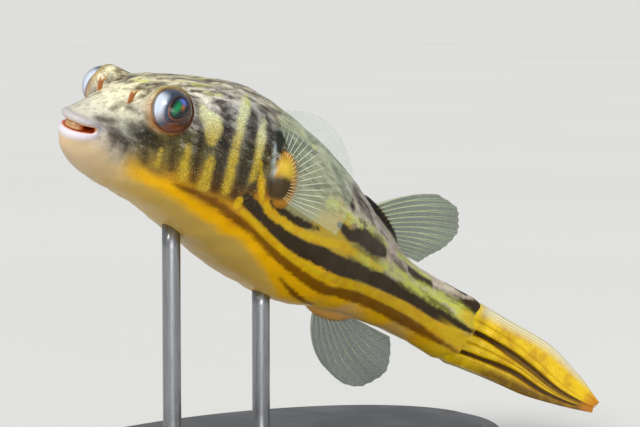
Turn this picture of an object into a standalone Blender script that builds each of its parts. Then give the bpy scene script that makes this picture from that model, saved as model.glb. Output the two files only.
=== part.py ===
"""A still, life-size model of a half-grown fahaka pufferfish on a plain display stand.

The fish is laid out along its own body axis: `along` runs from the snout towards the tail, `across` to the
fish's right and `up` to its back. That axis is a gently curved spine, and the whole fish is then pitched and
rolled on the stand. Sizes are millimetres here, and metres in the finished meshes. In the finished model the
fish faces -X with its left side to -Y, +Z is up, and the origin is at the centre of the stand's underside.
"""

import math
from dataclasses import dataclass

import bmesh
import bpy
import numpy as np
from mathutils import Matrix, Vector

MM = 0.001
GAP = 0.3  # clearance between neighbouring solids

# ---- pose on the stand -------------------------------------------------------------------------------------
NOSE_UP = 27.0  # degrees
ROLL = 5.0  # degrees, right side up
HEIGHT = 62.5  # of the body axis above the floor, at the pivot
PIVOT = 48.0  # station of the body axis that stands above the stand's centre
PIVOT_X = -2.0

# ---- the body ----------------------------------------------------------------------------------------------
BODY_LENGTH = 116.0  # snout to the root of the tail fin


@dataclass(frozen=True)
class Station:
    """One cross-section of the body, measured from the spine."""

    at: float
    back: float
    belly: float
    half_width: float
    twist: float  # degrees, back towards the left
    roofing: float  # shape of the upper half: under 1 is squarer than an ellipse, over 1 more like a roof


STATIONS = (
    Station(0.0, 1.0, 3.4, 2.2, 13.0, 1.0),
    Station(2.8, 3.0, 7.0, 4.7, 12.0, 0.97),
    Station(8.4, 5.7, 10.6, 7.4, 9.0, 0.89),
    Station(16.0, 9.7, 12.8, 12.0, 5.5, 0.7),
    Station(25.0, 12.2, 14.8, 14.5, 2.0, 0.58),
    Station(38.0, 15.2, 17.6, 16.2, -1.0, 1.0),
    Station(52.0, 14.5, 19.4, 16.1, -2.5, 1.12),
    Station(66.0, 12.4, 18.7, 14.4, -1.0, 1.1),
    Station(81.0, 8.8, 13.6, 10.5, 6.0, 1.08),
    Station(95.0, 6.2, 9.7, 7.1, 10.5, 1.05),
    Station(106.0, 7.1, 8.0, 5.2, 14.0, 1.04),
    Station(BODY_LENGTH, 8.1, 7.8, 3.8, 17.0, 1.03),
)
BELLY_ROUNDING = 0.9  # the lower half is slightly squarer than an ellipse

BEND_UNIT = 60.0  # length over which the spine's bends are stated
ARCH_TOP = 48.0  # station where the arched spine is highest
ARCH = (-11.1, 6.3, -0.5)  # drop of the spine away from there: square, cube and fourth-power parts
SWING_START = 43.0  # station behind which the tail swings to the left
HEAD_SWING = -1.2
TAIL_SWING = (-1.8, -2.1)  # square and cube parts

NECK = 38.0  # the head ends at the gill openings
TAIL_START = 90.0  # the trunk ends behind the anal fin
RING_SIDES = 32


def smooth_through(stations, values, at):
    """A smooth curve through the values that never overshoots them, read at the places `at`."""
    stations, values, at = (np.asarray(part, float) for part in (stations, values, at))
    steps = np.diff(stations)
    slopes = np.diff(values) / steps
    inner = np.zeros(len(stations))
    same_way = slopes[:-1] * slopes[1:] > 0
    wide = 2 * steps[1:] + steps[:-1]
    narrow = steps[1:] + 2 * steps[:-1]
    with np.errstate(divide="ignore", invalid="ignore"):
        mean = (wide + narrow) / (wide / slopes[:-1] + narrow / slopes[1:])
    inner[1:-1] = np.where(same_way, mean, 0.0)
    inner[0], inner[-1] = slopes[0], slopes[-1]
    cell = np.clip(np.searchsorted(stations, at, side="right") - 1, 0, len(steps) - 1)
    step = steps[cell]
    part = np.clip((at - stations[cell]) / step, 0.0, 1.0)
    start = (1 + 2 * part) * (1 - part) ** 2 * values[cell] + part * (1 - part) ** 2 * step * inner[cell]
    end = part**2 * (3 - 2 * part) * values[cell + 1] + part**2 * (part - 1) * step * inner[cell + 1]
    return start + end


def station_value(name, along):
    """One measure of the body's cross-section, such as half_width, at any place along the body."""
    return smooth_through([s.at for s in STATIONS], [getattr(s, name) for s in STATIONS], along)


def spine(along):
    """Points of the curved spine."""
    along = np.asarray(along, float)
    arch = (along - ARCH_TOP) / BEND_UNIT
    swing = (along - SWING_START) / BEND_UNIT
    up = ARCH[0] * arch**2 + ARCH[1] * arch**3 + ARCH[2] * arch**4
    behind = TAIL_SWING[0] * swing**2 + TAIL_SWING[1] * swing**3
    across = np.where(swing < 0, HEAD_SWING * swing**2, behind)
    return np.stack([along, across, up], axis=-1)


def body_axes(along):
    """The spine's own directions at a place: towards the tail, to the right and up, with the body's twist."""
    ahead = spine(np.asarray(along, float) + 0.5) - spine(np.asarray(along, float) - 0.5)
    tailward = ahead / np.linalg.norm(ahead, axis=-1, keepdims=True)
    flat = np.stack([-tailward[..., 1], tailward[..., 0], 0 * tailward[..., 0]], axis=-1)
    right = flat / np.linalg.norm(flat, axis=-1, keepdims=True)
    up = np.cross(tailward, right)
    twist = np.radians(station_value("twist", np.clip(along, 0.0, BODY_LENGTH)))[..., None]
    turned_right = np.cos(twist) * right + np.sin(twist) * up
    turned_up = np.cos(twist) * up - np.sin(twist) * right
    return tailward, turned_right, turned_up


def in_body(along, across, up):
    """Points given by their place along the spine and their offsets from it, in the fish's own frame."""
    along, across, up = np.broadcast_arrays(*(np.asarray(part, float) for part in (along, across, up)))
    _, right, upward = body_axes(along)
    return spine(along) + right * across[..., None] + upward * up[..., None]


def section(along, angle, grow=0.0):
    """Across and up offsets of the body's surface at an angle from its right side, through the back."""
    back = station_value("back", along) + grow
    belly = station_value("belly", along) + grow
    half_width = station_value("half_width", along) + grow
    cosine, sine = np.cos(angle), np.sin(angle)
    power = np.where(sine > 0, station_value("roofing", along), BELLY_ROUNDING)
    across = half_width * np.sign(cosine) * np.abs(cosine) ** power
    up = np.where(sine > 0, back, -belly) * np.abs(sine) ** power
    return across, up


# ---- mesh helpers ------------------------------------------------------------------------------------------


def material(name, colour, roughness, metallic=0.0):
    made = bpy.data.materials.new(name)
    made.use_nodes = True
    shader = made.node_tree.nodes["Principled BSDF"]
    shader.inputs["Base Color"].default_value = (*colour, 1.0)
    shader.inputs["Roughness"].default_value = roughness
    shader.inputs["Metallic"].default_value = metallic
    return made


def add_object(name, mesh, finish, collection, parent=None):
    made = bpy.data.objects.new(name, mesh)
    made.data.materials.append(finish)
    made.parent = parent
    collection.objects.link(made)
    return made


def as_helper(helper):
    helper.hide_render = True
    helper.display_type = "WIRE"
    return helper


def loft(name, rings):
    """A closed mesh through rings of points, an array of rings x sides x 3 in millimetres, capped flat."""
    count, sides, _ = rings.shape
    first = np.arange(count - 1)[:, None] * sides
    side = np.arange(sides)[None, :]
    following = (side + 1) % sides
    quads = np.stack([first + side, first + following, first + sides + following, first + sides + side], -1)
    faces = quads.reshape(-1, 4).tolist()
    faces += [list(range(sides))[::-1], [(count - 1) * sides + s for s in range(sides)]]
    mesh = bpy.data.meshes.new(name)
    mesh.from_pydata((rings.reshape(-1, 3) * MM).tolist(), [], faces)
    grown = bmesh.new()
    grown.from_mesh(mesh)
    bmesh.ops.recalc_face_normals(grown, faces=grown.faces)
    grown.to_mesh(mesh)
    grown.free()
    mesh.shade_smooth()
    return mesh


def body_length_mesh(name, start, end, rings, grow=0.0, sides=RING_SIDES):
    """The body's surface from one station to another."""
    along = np.linspace(start, end, rings)[:, None]
    angle = np.linspace(0.0, 2 * math.pi, sides, endpoint=False)[None, :]
    across, up = section(along, angle, grow)
    return loft(name, in_body(along, across, up))


def body_matrix(along, across, up):
    """A placement at a point of the body, with its axes along the tail, right and up directions there."""
    axes = [Vector(axis) for axis in body_axes(np.float64(along))]
    turn = Matrix(axes).transposed().to_4x4()
    return Matrix.Translation(Vector(in_body(along, across, up)) * MM) @ turn


def ellipsoid_mesh(name, placement, radii, grow=0.0, segments=18, rings=10):
    """An ellipsoid with its radii along, across and up, in millimetres."""
    ball = bmesh.new()
    bmesh.ops.create_uvsphere(ball, u_segments=segments, v_segments=rings, radius=1.0)
    stretch = Matrix.Diagonal((*(MM * (radius + grow) for radius in radii), 1.0))
    bmesh.ops.transform(ball, matrix=placement @ stretch, verts=ball.verts)
    mesh = bpy.data.meshes.new(name)
    ball.to_mesh(mesh)
    ball.free()
    mesh.shade_smooth()
    return mesh


def boolean(target, cutter, operation):
    step = target.modifiers.new(operation.lower() + "_" + cutter.name, "BOOLEAN")
    step.operation = operation
    step.object = cutter
    step.solver = "EXACT"


def tube_mesh(name, points, radii, resolution=2):
    """A round tube of changing radius along smooth points, closed at both ends."""
    curve = bpy.data.curves.new(name, "CURVE")
    curve.dimensions = "3D"
    curve.bevel_depth = MM
    curve.bevel_resolution = resolution
    curve.use_fill_caps = True
    line = curve.splines.new("POLY")
    line.points.add(len(points) - 1)
    for point, place, radius in zip(line.points, points, radii):
        point.co = (*(Vector(place) * MM), 1.0)
        point.radius = radius
    holder = bpy.data.objects.new(name, curve)
    bpy.context.scene.collection.objects.link(holder)
    bpy.context.view_layer.update()
    mesh = bpy.data.meshes.new_from_object(holder.evaluated_get(bpy.context.evaluated_depsgraph_get()))
    bpy.data.objects.remove(holder)
    bpy.data.curves.remove(curve)
    welded = bmesh.new()
    welded.from_mesh(mesh)
    bmesh.ops.remove_doubles(welded, verts=welded.verts, dist=MM * 0.001)
    bmesh.ops.recalc_face_normals(welded, faces=welded.faces)
    welded.to_mesh(mesh)
    welded.free()
    mesh.shade_smooth()
    return mesh


# ---- head --------------------------------------------------------------------------------------------------
EYE_AT, EYE_UP = 14.6, 5.8
EYE_ACROSS = {"left": 11.0, "right": 10.3}  # the left eye is turned out a little further
EYE_RADIUS = 4.2
ORBIT_INWARD = 1.1  # from the eyeball's centre in to that of its mound
ORBIT_RADII = (5.2, 3.6, 4.9)  # fleshy mound round the eyeball

MOUTH_HALF_WIDTH = 4.4
MOUTH_DEPTH = 3.9  # from the front of the lips back to the corners of the mouth
MOUTH_FRONT = 1.5
MOUTH_SWEEP = 88.0  # degrees from the middle of a lip round to the corner of the mouth
UPPER_LIP_UP, UPPER_LIP_RADIUS = 1.2, 1.15
LOWER_LIP_UP, LOWER_LIP_RADIUS = -1.6, 1.2
LIP_CORNER = 0.45  # height and thickness of the lips at the corners, as a share of the middle
LIP_FULLNESS = 0.7  # under 1 keeps the lips thick for longer towards the corners
MOUTH_OPENING, MOUTH_OPENING_UP = (4.4, 3.4, 0.8), -0.25
BEAK_RADII = (1.48, 1.78, 0.43)
BEAK_BEHIND, BEAK_UP = 2.2, -0.3  # from the front of the lips

NOSTRIL_AT, NOSTRIL_ACROSS = 10.2, 4.3
NOSTRIL_SIDE = 0.55  # cosine of the nostril's angle round the body
TENTACLE_LENGTH = 2.8
TENTACLE_SPREAD = 38.0  # degrees between the two lobes of a tentacle
TENTACLE_SPLAY = 0.25  # outward lean, as a share of its reach
TENTACLE_LIFT = 0.7
TENTACLE_RADIUS, TENTACLE_TAPER = 0.62, 0.1

# ---- fins --------------------------------------------------------------------------------------------------
FIN_THICKNESS = 0.6
PECTORAL_AT, PECTORAL_OUT = 42.6, 15.8
PECTORAL_UP = -0.3
PECTORAL_LOBE = (3.4, 2.9, 6.0)
PECTORAL_FAN_OUT = 1.1  # from the lobe's centre out to the fan's
PECTORAL_SPREAD = 35.0  # degrees by which the fins stand away from the flanks
DORSAL_BASE_AT = 82.5
DORSAL_BASE_SUNK = 0.4
DORSAL_BASE = (8.0, 2.3, 2.6)
DORSAL_LEAN = 15.0  # degrees, to the left
DORSAL_BASE_TILT = 15.0  # degrees, follows the falling line of the back
ANAL_BASE_AT = 84.0
ANAL_BASE_SUNK = 0.6
ANAL_BASE = (6.0, 2.2, 2.4)
ANAL_BASE_TILT = -20.0
CAUDAL_LENGTH = 33.0
CAUDAL_SWING = 22.0  # degrees by which the folded tail fin turns to the left
CAUDAL_CURL = -1.0  # further bend of its tip
CAUDAL_BLEND = 0.15  # share of its length over which it leaves the body's own line
CAUDAL_RIDGE = 0.12


@dataclass(frozen=True)
class Fan:
    """A fin as a fan of rays, laid out in a flat plane: x tailward, y up, from the fin's own centre."""

    root_front: tuple
    root_rear: tuple
    front_angle: float  # degrees above the tailward direction
    rear_angle: float
    lengths: tuple  # of rays spaced evenly from the first to the last
    bow: float  # how far the tips bend out of the plane
    front_sweep: float = 0.0  # degrees by which the first rays curve over towards their tips


PECTORAL_FAN = Fan((-3.6, 3.8), (1.8, -4.8), 110.0, -12.0, (8.5, 11.5, 13.2, 13.6, 12.8, 11.6), 0.0)
DORSAL_FAN = Fan((-4.5, 0.8), (6.6, -2.6), 62.0, 13.0, (17.0, 20.4, 20.2, 16.6, 12.4, 8.2), -0.8, 16.0)
ANAL_FAN = Fan((-3.6, -1.8), (4.0, 1.0), -72.0, 8.0, (13.0, 18.4, 20.6, 20.0, 17.4, 13.0), -0.8, -30.0)


def fan_grid(fan, rays=13, steps=6):
    """Points of the fan: rays x steps x 3, as tailward, out of plane and up."""
    share = np.linspace(0.0, 1.0, rays)[:, None]
    reach = np.linspace(0.0, 1.0, steps)[None, :]
    angle = np.radians(fan.front_angle + (fan.rear_angle - fan.front_angle) * share)
    angle = angle - np.radians(fan.front_sweep) * reach * (1.0 - share)
    length = smooth_through(np.linspace(0, 1, len(fan.lengths)), fan.lengths, share)
    tailward = fan.root_front[0] + (fan.root_rear[0] - fan.root_front[0]) * share + length * reach * np.cos(angle)
    up = fan.root_front[1] + (fan.root_rear[1] - fan.root_front[1]) * share + length * reach * np.sin(angle)
    out = fan.bow * (reach**2) * np.sin(math.pi * (0.15 + 0.7 * share))
    return np.stack([tailward, out, up], axis=-1)


def sheet_object(name, grid, finish, collection, parent):
    """A thin closed fin from a grid of points in millimetres."""
    rows, columns, _ = grid.shape
    corner = np.arange(rows - 1)[:, None] * columns + np.arange(columns - 1)[None, :]
    faces = np.stack([corner, corner + 1, corner + columns + 1, corner + columns], axis=-1).reshape(-1, 4)
    mesh = bpy.data.meshes.new(name)
    mesh.from_pydata((grid.reshape(-1, 3) * MM).tolist(), [], faces.tolist())
    mesh.shade_smooth()
    made = add_object(name, mesh, finish, collection, parent)
    shell = made.modifiers.new("thickness", "SOLIDIFY")
    shell.thickness = FIN_THICKNESS * MM
    shell.offset = 0.0
    return made


def turned_plane(along, lean=0.0, swing=0.0):
    """Tailward, side and up directions at a station, swung to the left and then leaned to the left."""
    tailward, right, up = (np.array(axis) for axis in body_axes(np.float64(along)))
    swing, lean = math.radians(swing), math.radians(lean)
    swung_tailward = math.cos(swing) * tailward - math.sin(swing) * right
    swung_right = math.cos(swing) * right + math.sin(swing) * tailward
    leaned_up = math.cos(lean) * up - math.sin(lean) * swung_right
    leaned_right = math.cos(lean) * swung_right + math.sin(lean) * up
    return swung_tailward, leaned_right, leaned_up


def on_plane(grid, centre, axes):
    """The grid's tailward, out and up offsets laid along three directions from a centre."""
    return centre + grid[..., 0:1] * axes[0] + grid[..., 1:2] * axes[1] + grid[..., 2:3] * axes[2]


class Builder:
    """Makes the fish and the stand, piece by piece, in one collection."""

    def __init__(self):
        self.parts = bpy.data.collections.new("pufferfish_on_stand")
        self.helpers = bpy.data.collections.new("cutters")
        for collection in (self.parts, self.helpers):
            bpy.context.scene.collection.children.link(collection)
        self.pose = bpy.data.objects.new("fish_pose", None)
        self.parts.objects.link(self.pose)
        self.pose.rotation_euler = (math.radians(ROLL), math.radians(NOSE_UP), 0.0)
        turned = self.pose.rotation_euler.to_matrix() @ (Vector(spine(PIVOT)) * MM)
        self.pose.location = Vector((PIVOT_X * MM, 0.0, HEIGHT * MM)) - turned
        bpy.context.view_layer.update()
        self.skin = material("skin", (0.55, 0.45, 0.25), 0.4)
        self.lip = material("lip", (0.75, 0.7, 0.68), 0.35)
        self.eye = material("eye", (0.35, 0.12, 0.05), 0.1)
        self.beak = material("beak", (0.78, 0.62, 0.42), 0.3)
        self.fin = material("fin", (0.7, 0.62, 0.4), 0.45)
        self.stand = material("stand", (0.035, 0.036, 0.04), 0.4)
        self.clearance = self.helper("body_clearance", body_length_mesh("body_clearance", 0, BODY_LENGTH, 48, GAP))

    def part(self, name, mesh, finish, parent=True):
        return add_object(name, mesh, finish, self.parts, self.pose if parent else None)

    def helper(self, name, mesh):
        return as_helper(add_object(name, mesh, self.stand, self.helpers, self.pose))

    def head(self):
        head = self.part("head", body_length_mesh("head", MOUTH_FRONT, NECK - GAP, 18), self.skin)
        for side, sign in (("left", -1), ("right", 1)):
            place = body_matrix(EYE_AT, sign * EYE_ACROSS[side], EYE_UP)
            orbit = body_matrix(EYE_AT, sign * (EYE_ACROSS[side] - ORBIT_INWARD), EYE_UP)
            mound = self.helper(f"orbit_{side}", ellipsoid_mesh("orbit", orbit, ORBIT_RADII))
            boolean(head, mound, "UNION")
            ball = (EYE_RADIUS,) * 3
            socket = self.helper(f"socket_{side}", ellipsoid_mesh("socket", place, ball, GAP))
            boolean(head, socket, "DIFFERENCE")
            self.part(f"eye_{side}", ellipsoid_mesh("eye", place, ball), self.eye)
            self.tentacle(side, sign)
        self.mouth(head)

    def mouth(self, head):
        opening = body_matrix(MOUTH_FRONT, 0.0, MOUTH_OPENING_UP)
        room = self.helper("mouth_room", ellipsoid_mesh("mouth", opening, MOUTH_OPENING))
        turn = np.radians(np.linspace(-MOUTH_SWEEP, MOUTH_SWEEP, 13))
        along = MOUTH_FRONT + MOUTH_DEPTH * (1 - np.cos(turn))
        across = MOUTH_HALF_WIDTH * np.sin(turn)
        thick = LIP_CORNER + (1 - LIP_CORNER) * np.cos(turn) ** LIP_FULLNESS
        lips = (("lip_upper", UPPER_LIP_UP, UPPER_LIP_RADIUS), ("lip_lower", LOWER_LIP_UP, LOWER_LIP_RADIUS))
        for name, up, radius in lips:
            height = up * (LIP_CORNER + (1 - LIP_CORNER) * np.cos(turn))
            path = in_body(along, across, height)
            lip_room = self.helper(name + "_room", tube_mesh(name, path, radius * thick + GAP))
            boolean(room, lip_room, "UNION")
            self.part(name, tube_mesh(name, path, radius * thick), self.lip)
        boolean(head, room, "DIFFERENCE")
        place = body_matrix(MOUTH_FRONT + BEAK_BEHIND, 0.0, BEAK_UP)
        self.part("beak", ellipsoid_mesh("beak", place, BEAK_RADII, segments=16, rings=8), self.beak)

    def tentacle(self, side, sign):
        _, surface_up = section(NOSTRIL_AT, math.acos(NOSTRIL_SIDE))
        name = f"nasal_tentacle_{side}"
        lobes = []
        for lobe in (-1, 1):
            lean = math.radians(lobe * TENTACLE_SPREAD / 2)
            reach = np.linspace(0.0, TENTACLE_LENGTH, 6)
            along = NOSTRIL_AT + reach * math.sin(lean)
            across = sign * (NOSTRIL_ACROSS + TENTACLE_SPLAY * reach)
            up = float(surface_up) + TENTACLE_LIFT + reach * math.cos(lean)
            radii = TENTACLE_RADIUS - TENTACLE_TAPER * reach
            lobes.append(tube_mesh(name, in_body(along, across, up), radii, 1))
        stalk = self.part(name, lobes[0], self.skin)
        boolean(stalk, self.helper(name + "_rear_lobe", lobes[1]), "UNION")
        boolean(stalk, self.clearance, "DIFFERENCE")

    def trunk_and_tail(self):
        trunk = body_length_mesh("trunk", NECK, TAIL_START - GAP, 20)
        self.part("trunk", trunk, self.skin)
        self.part("tail", body_length_mesh("tail", TAIL_START, BODY_LENGTH, 10), self.skin)

    def fin_base(self, name, placement, radii):
        """A fleshy lobe on the body, cut back to clear it, with a slightly larger copy as a cutter."""
        base = self.part(name, ellipsoid_mesh(name, placement, radii), self.skin)
        boolean(base, self.clearance, "DIFFERENCE")
        return self.helper(name + "_clearance", ellipsoid_mesh(name, placement, radii, GAP))

    def blade(self, name, grid, base_clearance):
        blade = sheet_object(name, grid, self.fin, self.parts, self.pose)
        boolean(blade, base_clearance, "DIFFERENCE")
        boolean(blade, self.clearance, "DIFFERENCE")

    def pectoral_fins(self):
        for side, sign in (("left", -1), ("right", 1)):
            place = body_matrix(PECTORAL_AT, sign * PECTORAL_OUT, PECTORAL_UP)
            clear = self.fin_base(f"pectoral_base_{side}", place, PECTORAL_LOBE)
            tailward, right, up = (np.array(axis) for axis in body_axes(np.float64(PECTORAL_AT)))
            out = sign * right
            spread = math.radians(PECTORAL_SPREAD)
            axes = (math.cos(spread) * tailward + math.sin(spread) * out,
                    math.cos(spread) * out - math.sin(spread) * tailward, up)
            centre = in_body(PECTORAL_AT, sign * (PECTORAL_OUT + PECTORAL_FAN_OUT), 0.0)
            self.blade(f"pectoral_fin_{side}", on_plane(fan_grid(PECTORAL_FAN), centre, axes), clear)

    def median_fins(self):
        dorsal_up = float(station_value("back", DORSAL_BASE_AT)) - DORSAL_BASE_SUNK
        tilt = Matrix.Rotation(math.radians(DORSAL_BASE_TILT), 4, "Y")
        place = body_matrix(DORSAL_BASE_AT, 0.0, dorsal_up) @ tilt
        clear = self.fin_base("dorsal_fin_base", place, DORSAL_BASE)
        centre = in_body(DORSAL_BASE_AT, 0.0, dorsal_up)
        grid = on_plane(fan_grid(DORSAL_FAN), centre, turned_plane(DORSAL_BASE_AT, lean=DORSAL_LEAN))
        self.blade("dorsal_fin", grid, clear)

        anal_up = ANAL_BASE_SUNK - float(station_value("belly", ANAL_BASE_AT))
        tilt = Matrix.Rotation(math.radians(ANAL_BASE_TILT), 4, "Y")
        place = body_matrix(ANAL_BASE_AT, 0.0, anal_up) @ tilt
        clear = self.fin_base("anal_fin_base", place, ANAL_BASE)
        centre = in_body(ANAL_BASE_AT, 0.0, anal_up)
        self.blade("anal_fin", on_plane(fan_grid(ANAL_FAN), centre, turned_plane(ANAL_BASE_AT)), clear)

    def tail_fin(self):
        """The folded tail fin: a narrowing bundle of rays that curves on to the left."""
        reach = np.linspace(0.0, 1.0, 12)[:, None]
        angle = np.linspace(0.0, 2 * math.pi, 32, endpoint=False)[None, :]
        half_height = smooth_through([0, 0.2, 0.5, 0.8, 1.0], [7.5, 6.9, 6.4, 4.0, 1.5], reach)
        half_thick = smooth_through([0, 0.3, 1.0], [1.9, 1.5, 0.6], reach)
        middle = smooth_through([0, 0.5, 1.0], [0.1, 2.2, 2.9], reach)
        up = middle + half_height * np.sin(angle)
        ridges = 1.0 + CAUDAL_RIDGE * np.cos(6 * math.pi * np.sin(angle))
        out = half_thick * ridges * np.cos(angle)
        curl = CAUDAL_CURL * reach**2
        start = BODY_LENGTH + GAP
        axes = turned_plane(BODY_LENGTH, swing=CAUDAL_SWING)
        grid = np.stack([CAUDAL_LENGTH * reach + 0 * angle, curl + out, up], axis=-1)
        centre = in_body(start, 0.0, 0.0)
        straight = turned_plane(BODY_LENGTH)
        blend = np.clip(reach / CAUDAL_BLEND, 0.0, 1.0)[..., None]
        swung = on_plane(grid, centre, axes)
        flat = on_plane(grid, centre, straight)
        tail_fin = self.part("tail_fin", loft("tail_fin", flat * (1 - blend) + swung * blend), self.fin)
        boolean(tail_fin, self.clearance, "DIFFERENCE")


# ---- stand -------------------------------------------------------------------------------------------------
BASE_LENGTH, BASE_WIDTH, BASE_THICKNESS = 124.0, 76.0, 8.5
BASE_EDGE = 1.0
ROD_RADIUS = 1.8
ROD_REACH = 6.0  # how far a rod runs on into the belly before it is cut back
ROD_STATIONS = (("front", 33.0), ("rear", 64.0))


def build_stand(builder):
    disc = bmesh.new()
    bmesh.ops.create_cone(disc, cap_ends=True, segments=56, radius1=1.0, radius2=1.0, depth=1.0)
    stretch = Matrix.Diagonal((BASE_LENGTH * MM / 2, BASE_WIDTH * MM / 2, BASE_THICKNESS * MM, 1.0))
    lift = Matrix.Translation((0.0, 0.0, BASE_THICKNESS * MM / 2))
    bmesh.ops.transform(disc, matrix=lift @ stretch, verts=disc.verts)
    mesh = bpy.data.meshes.new("stand_base")
    disc.to_mesh(mesh)
    disc.free()
    base = builder.part("stand_base", mesh, builder.stand, parent=False)
    edge = base.modifiers.new("edge", "BEVEL")
    edge.width = BASE_EDGE * MM
    edge.segments = 2
    edge.limit_method = "ANGLE"
    edge.angle_limit = math.radians(60.0)
    for name, along in ROD_STATIONS:
        belly = -float(station_value("belly", along))
        foot = builder.pose.matrix_world @ (Vector(in_body(along, 0.0, belly)) * MM)
        low = (BASE_THICKNESS + GAP) * MM
        high = foot.z + ROD_REACH * MM
        rod = bmesh.new()
        bmesh.ops.create_cone(rod, cap_ends=True, segments=24, radius1=ROD_RADIUS * MM,
                              radius2=ROD_RADIUS * MM, depth=high - low)
        move = Matrix.Translation((foot.x, foot.y, (low + high) / 2))
        bmesh.ops.transform(rod, matrix=move, verts=rod.verts)
        mesh = bpy.data.meshes.new("stand_rod")
        rod.to_mesh(mesh)
        rod.free()
        mesh.shade_smooth()
        made = builder.part(f"stand_rod_{name}", mesh, builder.stand, parent=False)
        boolean(made, builder.clearance, "DIFFERENCE")


def main():
    for old in list(bpy.data.objects):
        bpy.data.objects.remove(old, do_unlink=True)
    builder = Builder()
    builder.head()
    builder.trunk_and_tail()
    builder.pectoral_fins()
    builder.median_fins()
    builder.tail_fin()
    build_stand(builder)


main()
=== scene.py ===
"""The finished surfaces of a life-size fahaka pufferfish model on a black display stand.

The fish is worked out in its own frame, in millimetres: `along` runs tailward from the snout on a gently
curved spine, `across` to the fish's right and `up` to its back. Round the body, an angle of 0 degrees is the
right side, 90 the back, 180 the left flank and 270 the belly. The whole fish is then turned into its pose and
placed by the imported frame.
"""

import logging
import math
from dataclasses import dataclass, field
from enum import Enum

import bpy
import numpy as np
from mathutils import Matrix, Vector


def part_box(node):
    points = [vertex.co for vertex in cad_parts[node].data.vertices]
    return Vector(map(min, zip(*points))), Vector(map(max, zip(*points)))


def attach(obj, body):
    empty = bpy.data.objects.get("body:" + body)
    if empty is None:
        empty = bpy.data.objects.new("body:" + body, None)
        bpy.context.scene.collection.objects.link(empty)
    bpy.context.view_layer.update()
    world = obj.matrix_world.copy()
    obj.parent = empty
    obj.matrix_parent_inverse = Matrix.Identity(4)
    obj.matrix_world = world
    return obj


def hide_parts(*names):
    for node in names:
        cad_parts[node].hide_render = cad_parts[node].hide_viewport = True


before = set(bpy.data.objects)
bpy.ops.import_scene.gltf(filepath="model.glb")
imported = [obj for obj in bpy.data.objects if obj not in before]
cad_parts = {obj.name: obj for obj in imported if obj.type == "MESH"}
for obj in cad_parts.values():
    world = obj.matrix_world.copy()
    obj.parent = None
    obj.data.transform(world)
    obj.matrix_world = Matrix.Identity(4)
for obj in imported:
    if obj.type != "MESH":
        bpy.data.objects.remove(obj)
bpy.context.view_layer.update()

MM = 0.001
LOG = logging.getLogger("pufferfish")
SIGNS = {"left": -1, "right": 1}
FAR_OUTSIDE = -99.0

Array = np.ndarray
Axes = tuple[Array, Array, Array]
Tone = tuple[float, float, float]


# ---- curves and vectors ------------------------------------------------------------------------------------


def smooth_through(places: Array, values: Array, at: Array) -> Array:
    """Read a smooth curve through values, one that never overshoots them.

    Each cell is a cubic whose end slopes are the weighted harmonic means of the slopes beside them.

    Args:
        places: increasing places of the values.
        values: the value at each place.
        at: places to read.

    Returns:
        The curve at `at`, with the end values beyond the ends.
    """
    places, values, at = (np.asarray(part, float) for part in (places, values, at))
    steps = np.diff(places)
    slopes = np.diff(values) / steps
    inner = np.zeros(len(places))
    same_way = slopes[:-1] * slopes[1:] > 0
    wide, narrow = 2 * steps[1:] + steps[:-1], steps[1:] + 2 * steps[:-1]
    with np.errstate(divide="ignore", invalid="ignore"):
        mean = (wide + narrow) / (wide / slopes[:-1] + narrow / slopes[1:])
    inner[1:-1] = np.where(same_way, mean, 0.0)
    inner[0], inner[-1] = slopes[0], slopes[-1]
    cell = np.clip(np.searchsorted(places, at, side="right") - 1, 0, len(steps) - 1)
    step = steps[cell]
    part = np.clip((at - places[cell]) / step, 0.0, 1.0)
    start = (1 + 2 * part) * (1 - part) ** 2 * values[cell] + part * (1 - part) ** 2 * step * inner[cell]
    end = part**2 * (3 - 2 * part) * values[cell + 1] + part**2 * (part - 1) * step * inner[cell + 1]
    return start + end


def smoothstep(low: float, high: float, value: Array) -> Array:
    """Rise from 0 at `low` to 1 at `high` with level ends."""
    part = np.clip((np.asarray(value, float) - low) / (high - low), 0.0, 1.0)
    return part * part * (3.0 - 2.0 * part)


def window(rise: tuple[float, float], fall: tuple[float, float], value: Array) -> Array:
    """1 between a smooth rise and a smooth fall, each given as its low and high end, and 0 outside them."""
    return smoothstep(*rise, value) * (1 - smoothstep(*fall, value))


def bell(value: Array, middle: float, reach: float, power: int = 2) -> Array:
    """1 at the middle, falling away on both sides over about the reach."""
    return np.exp(-(((value - middle) / reach) ** power))


def smooth_union(first: Array, second: Array, blend: float) -> Array:
    """The lesser of two distances, rounded off where they are within `blend` of each other."""
    part = np.clip(0.5 + 0.5 * (second - first) / blend, 0.0, 1.0)
    return second * (1 - part) + first * part - blend * part * (1 - part)


def unit(vectors: Array) -> Array:
    """Vectors scaled to a length of 1."""
    return vectors / np.maximum(np.linalg.norm(vectors, axis=-1, keepdims=True), 1e-9)


def spread(*parts: Array) -> Array:
    """Stack coordinates that broadcast against each other along a new last axis."""
    return np.stack(np.broadcast_arrays(*parts), -1)


def turns(count: int) -> Array:
    """Even angles once round, in radians."""
    return np.arange(count) * 2 * math.pi / count


def on_left(angle: Array) -> Array:
    """An angle round the body, in radians, as the degrees of its mirror place on the left side."""
    return np.where(np.cos(angle) < 0, np.degrees(angle), (180.0 - np.degrees(angle)) % 360.0)


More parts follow.
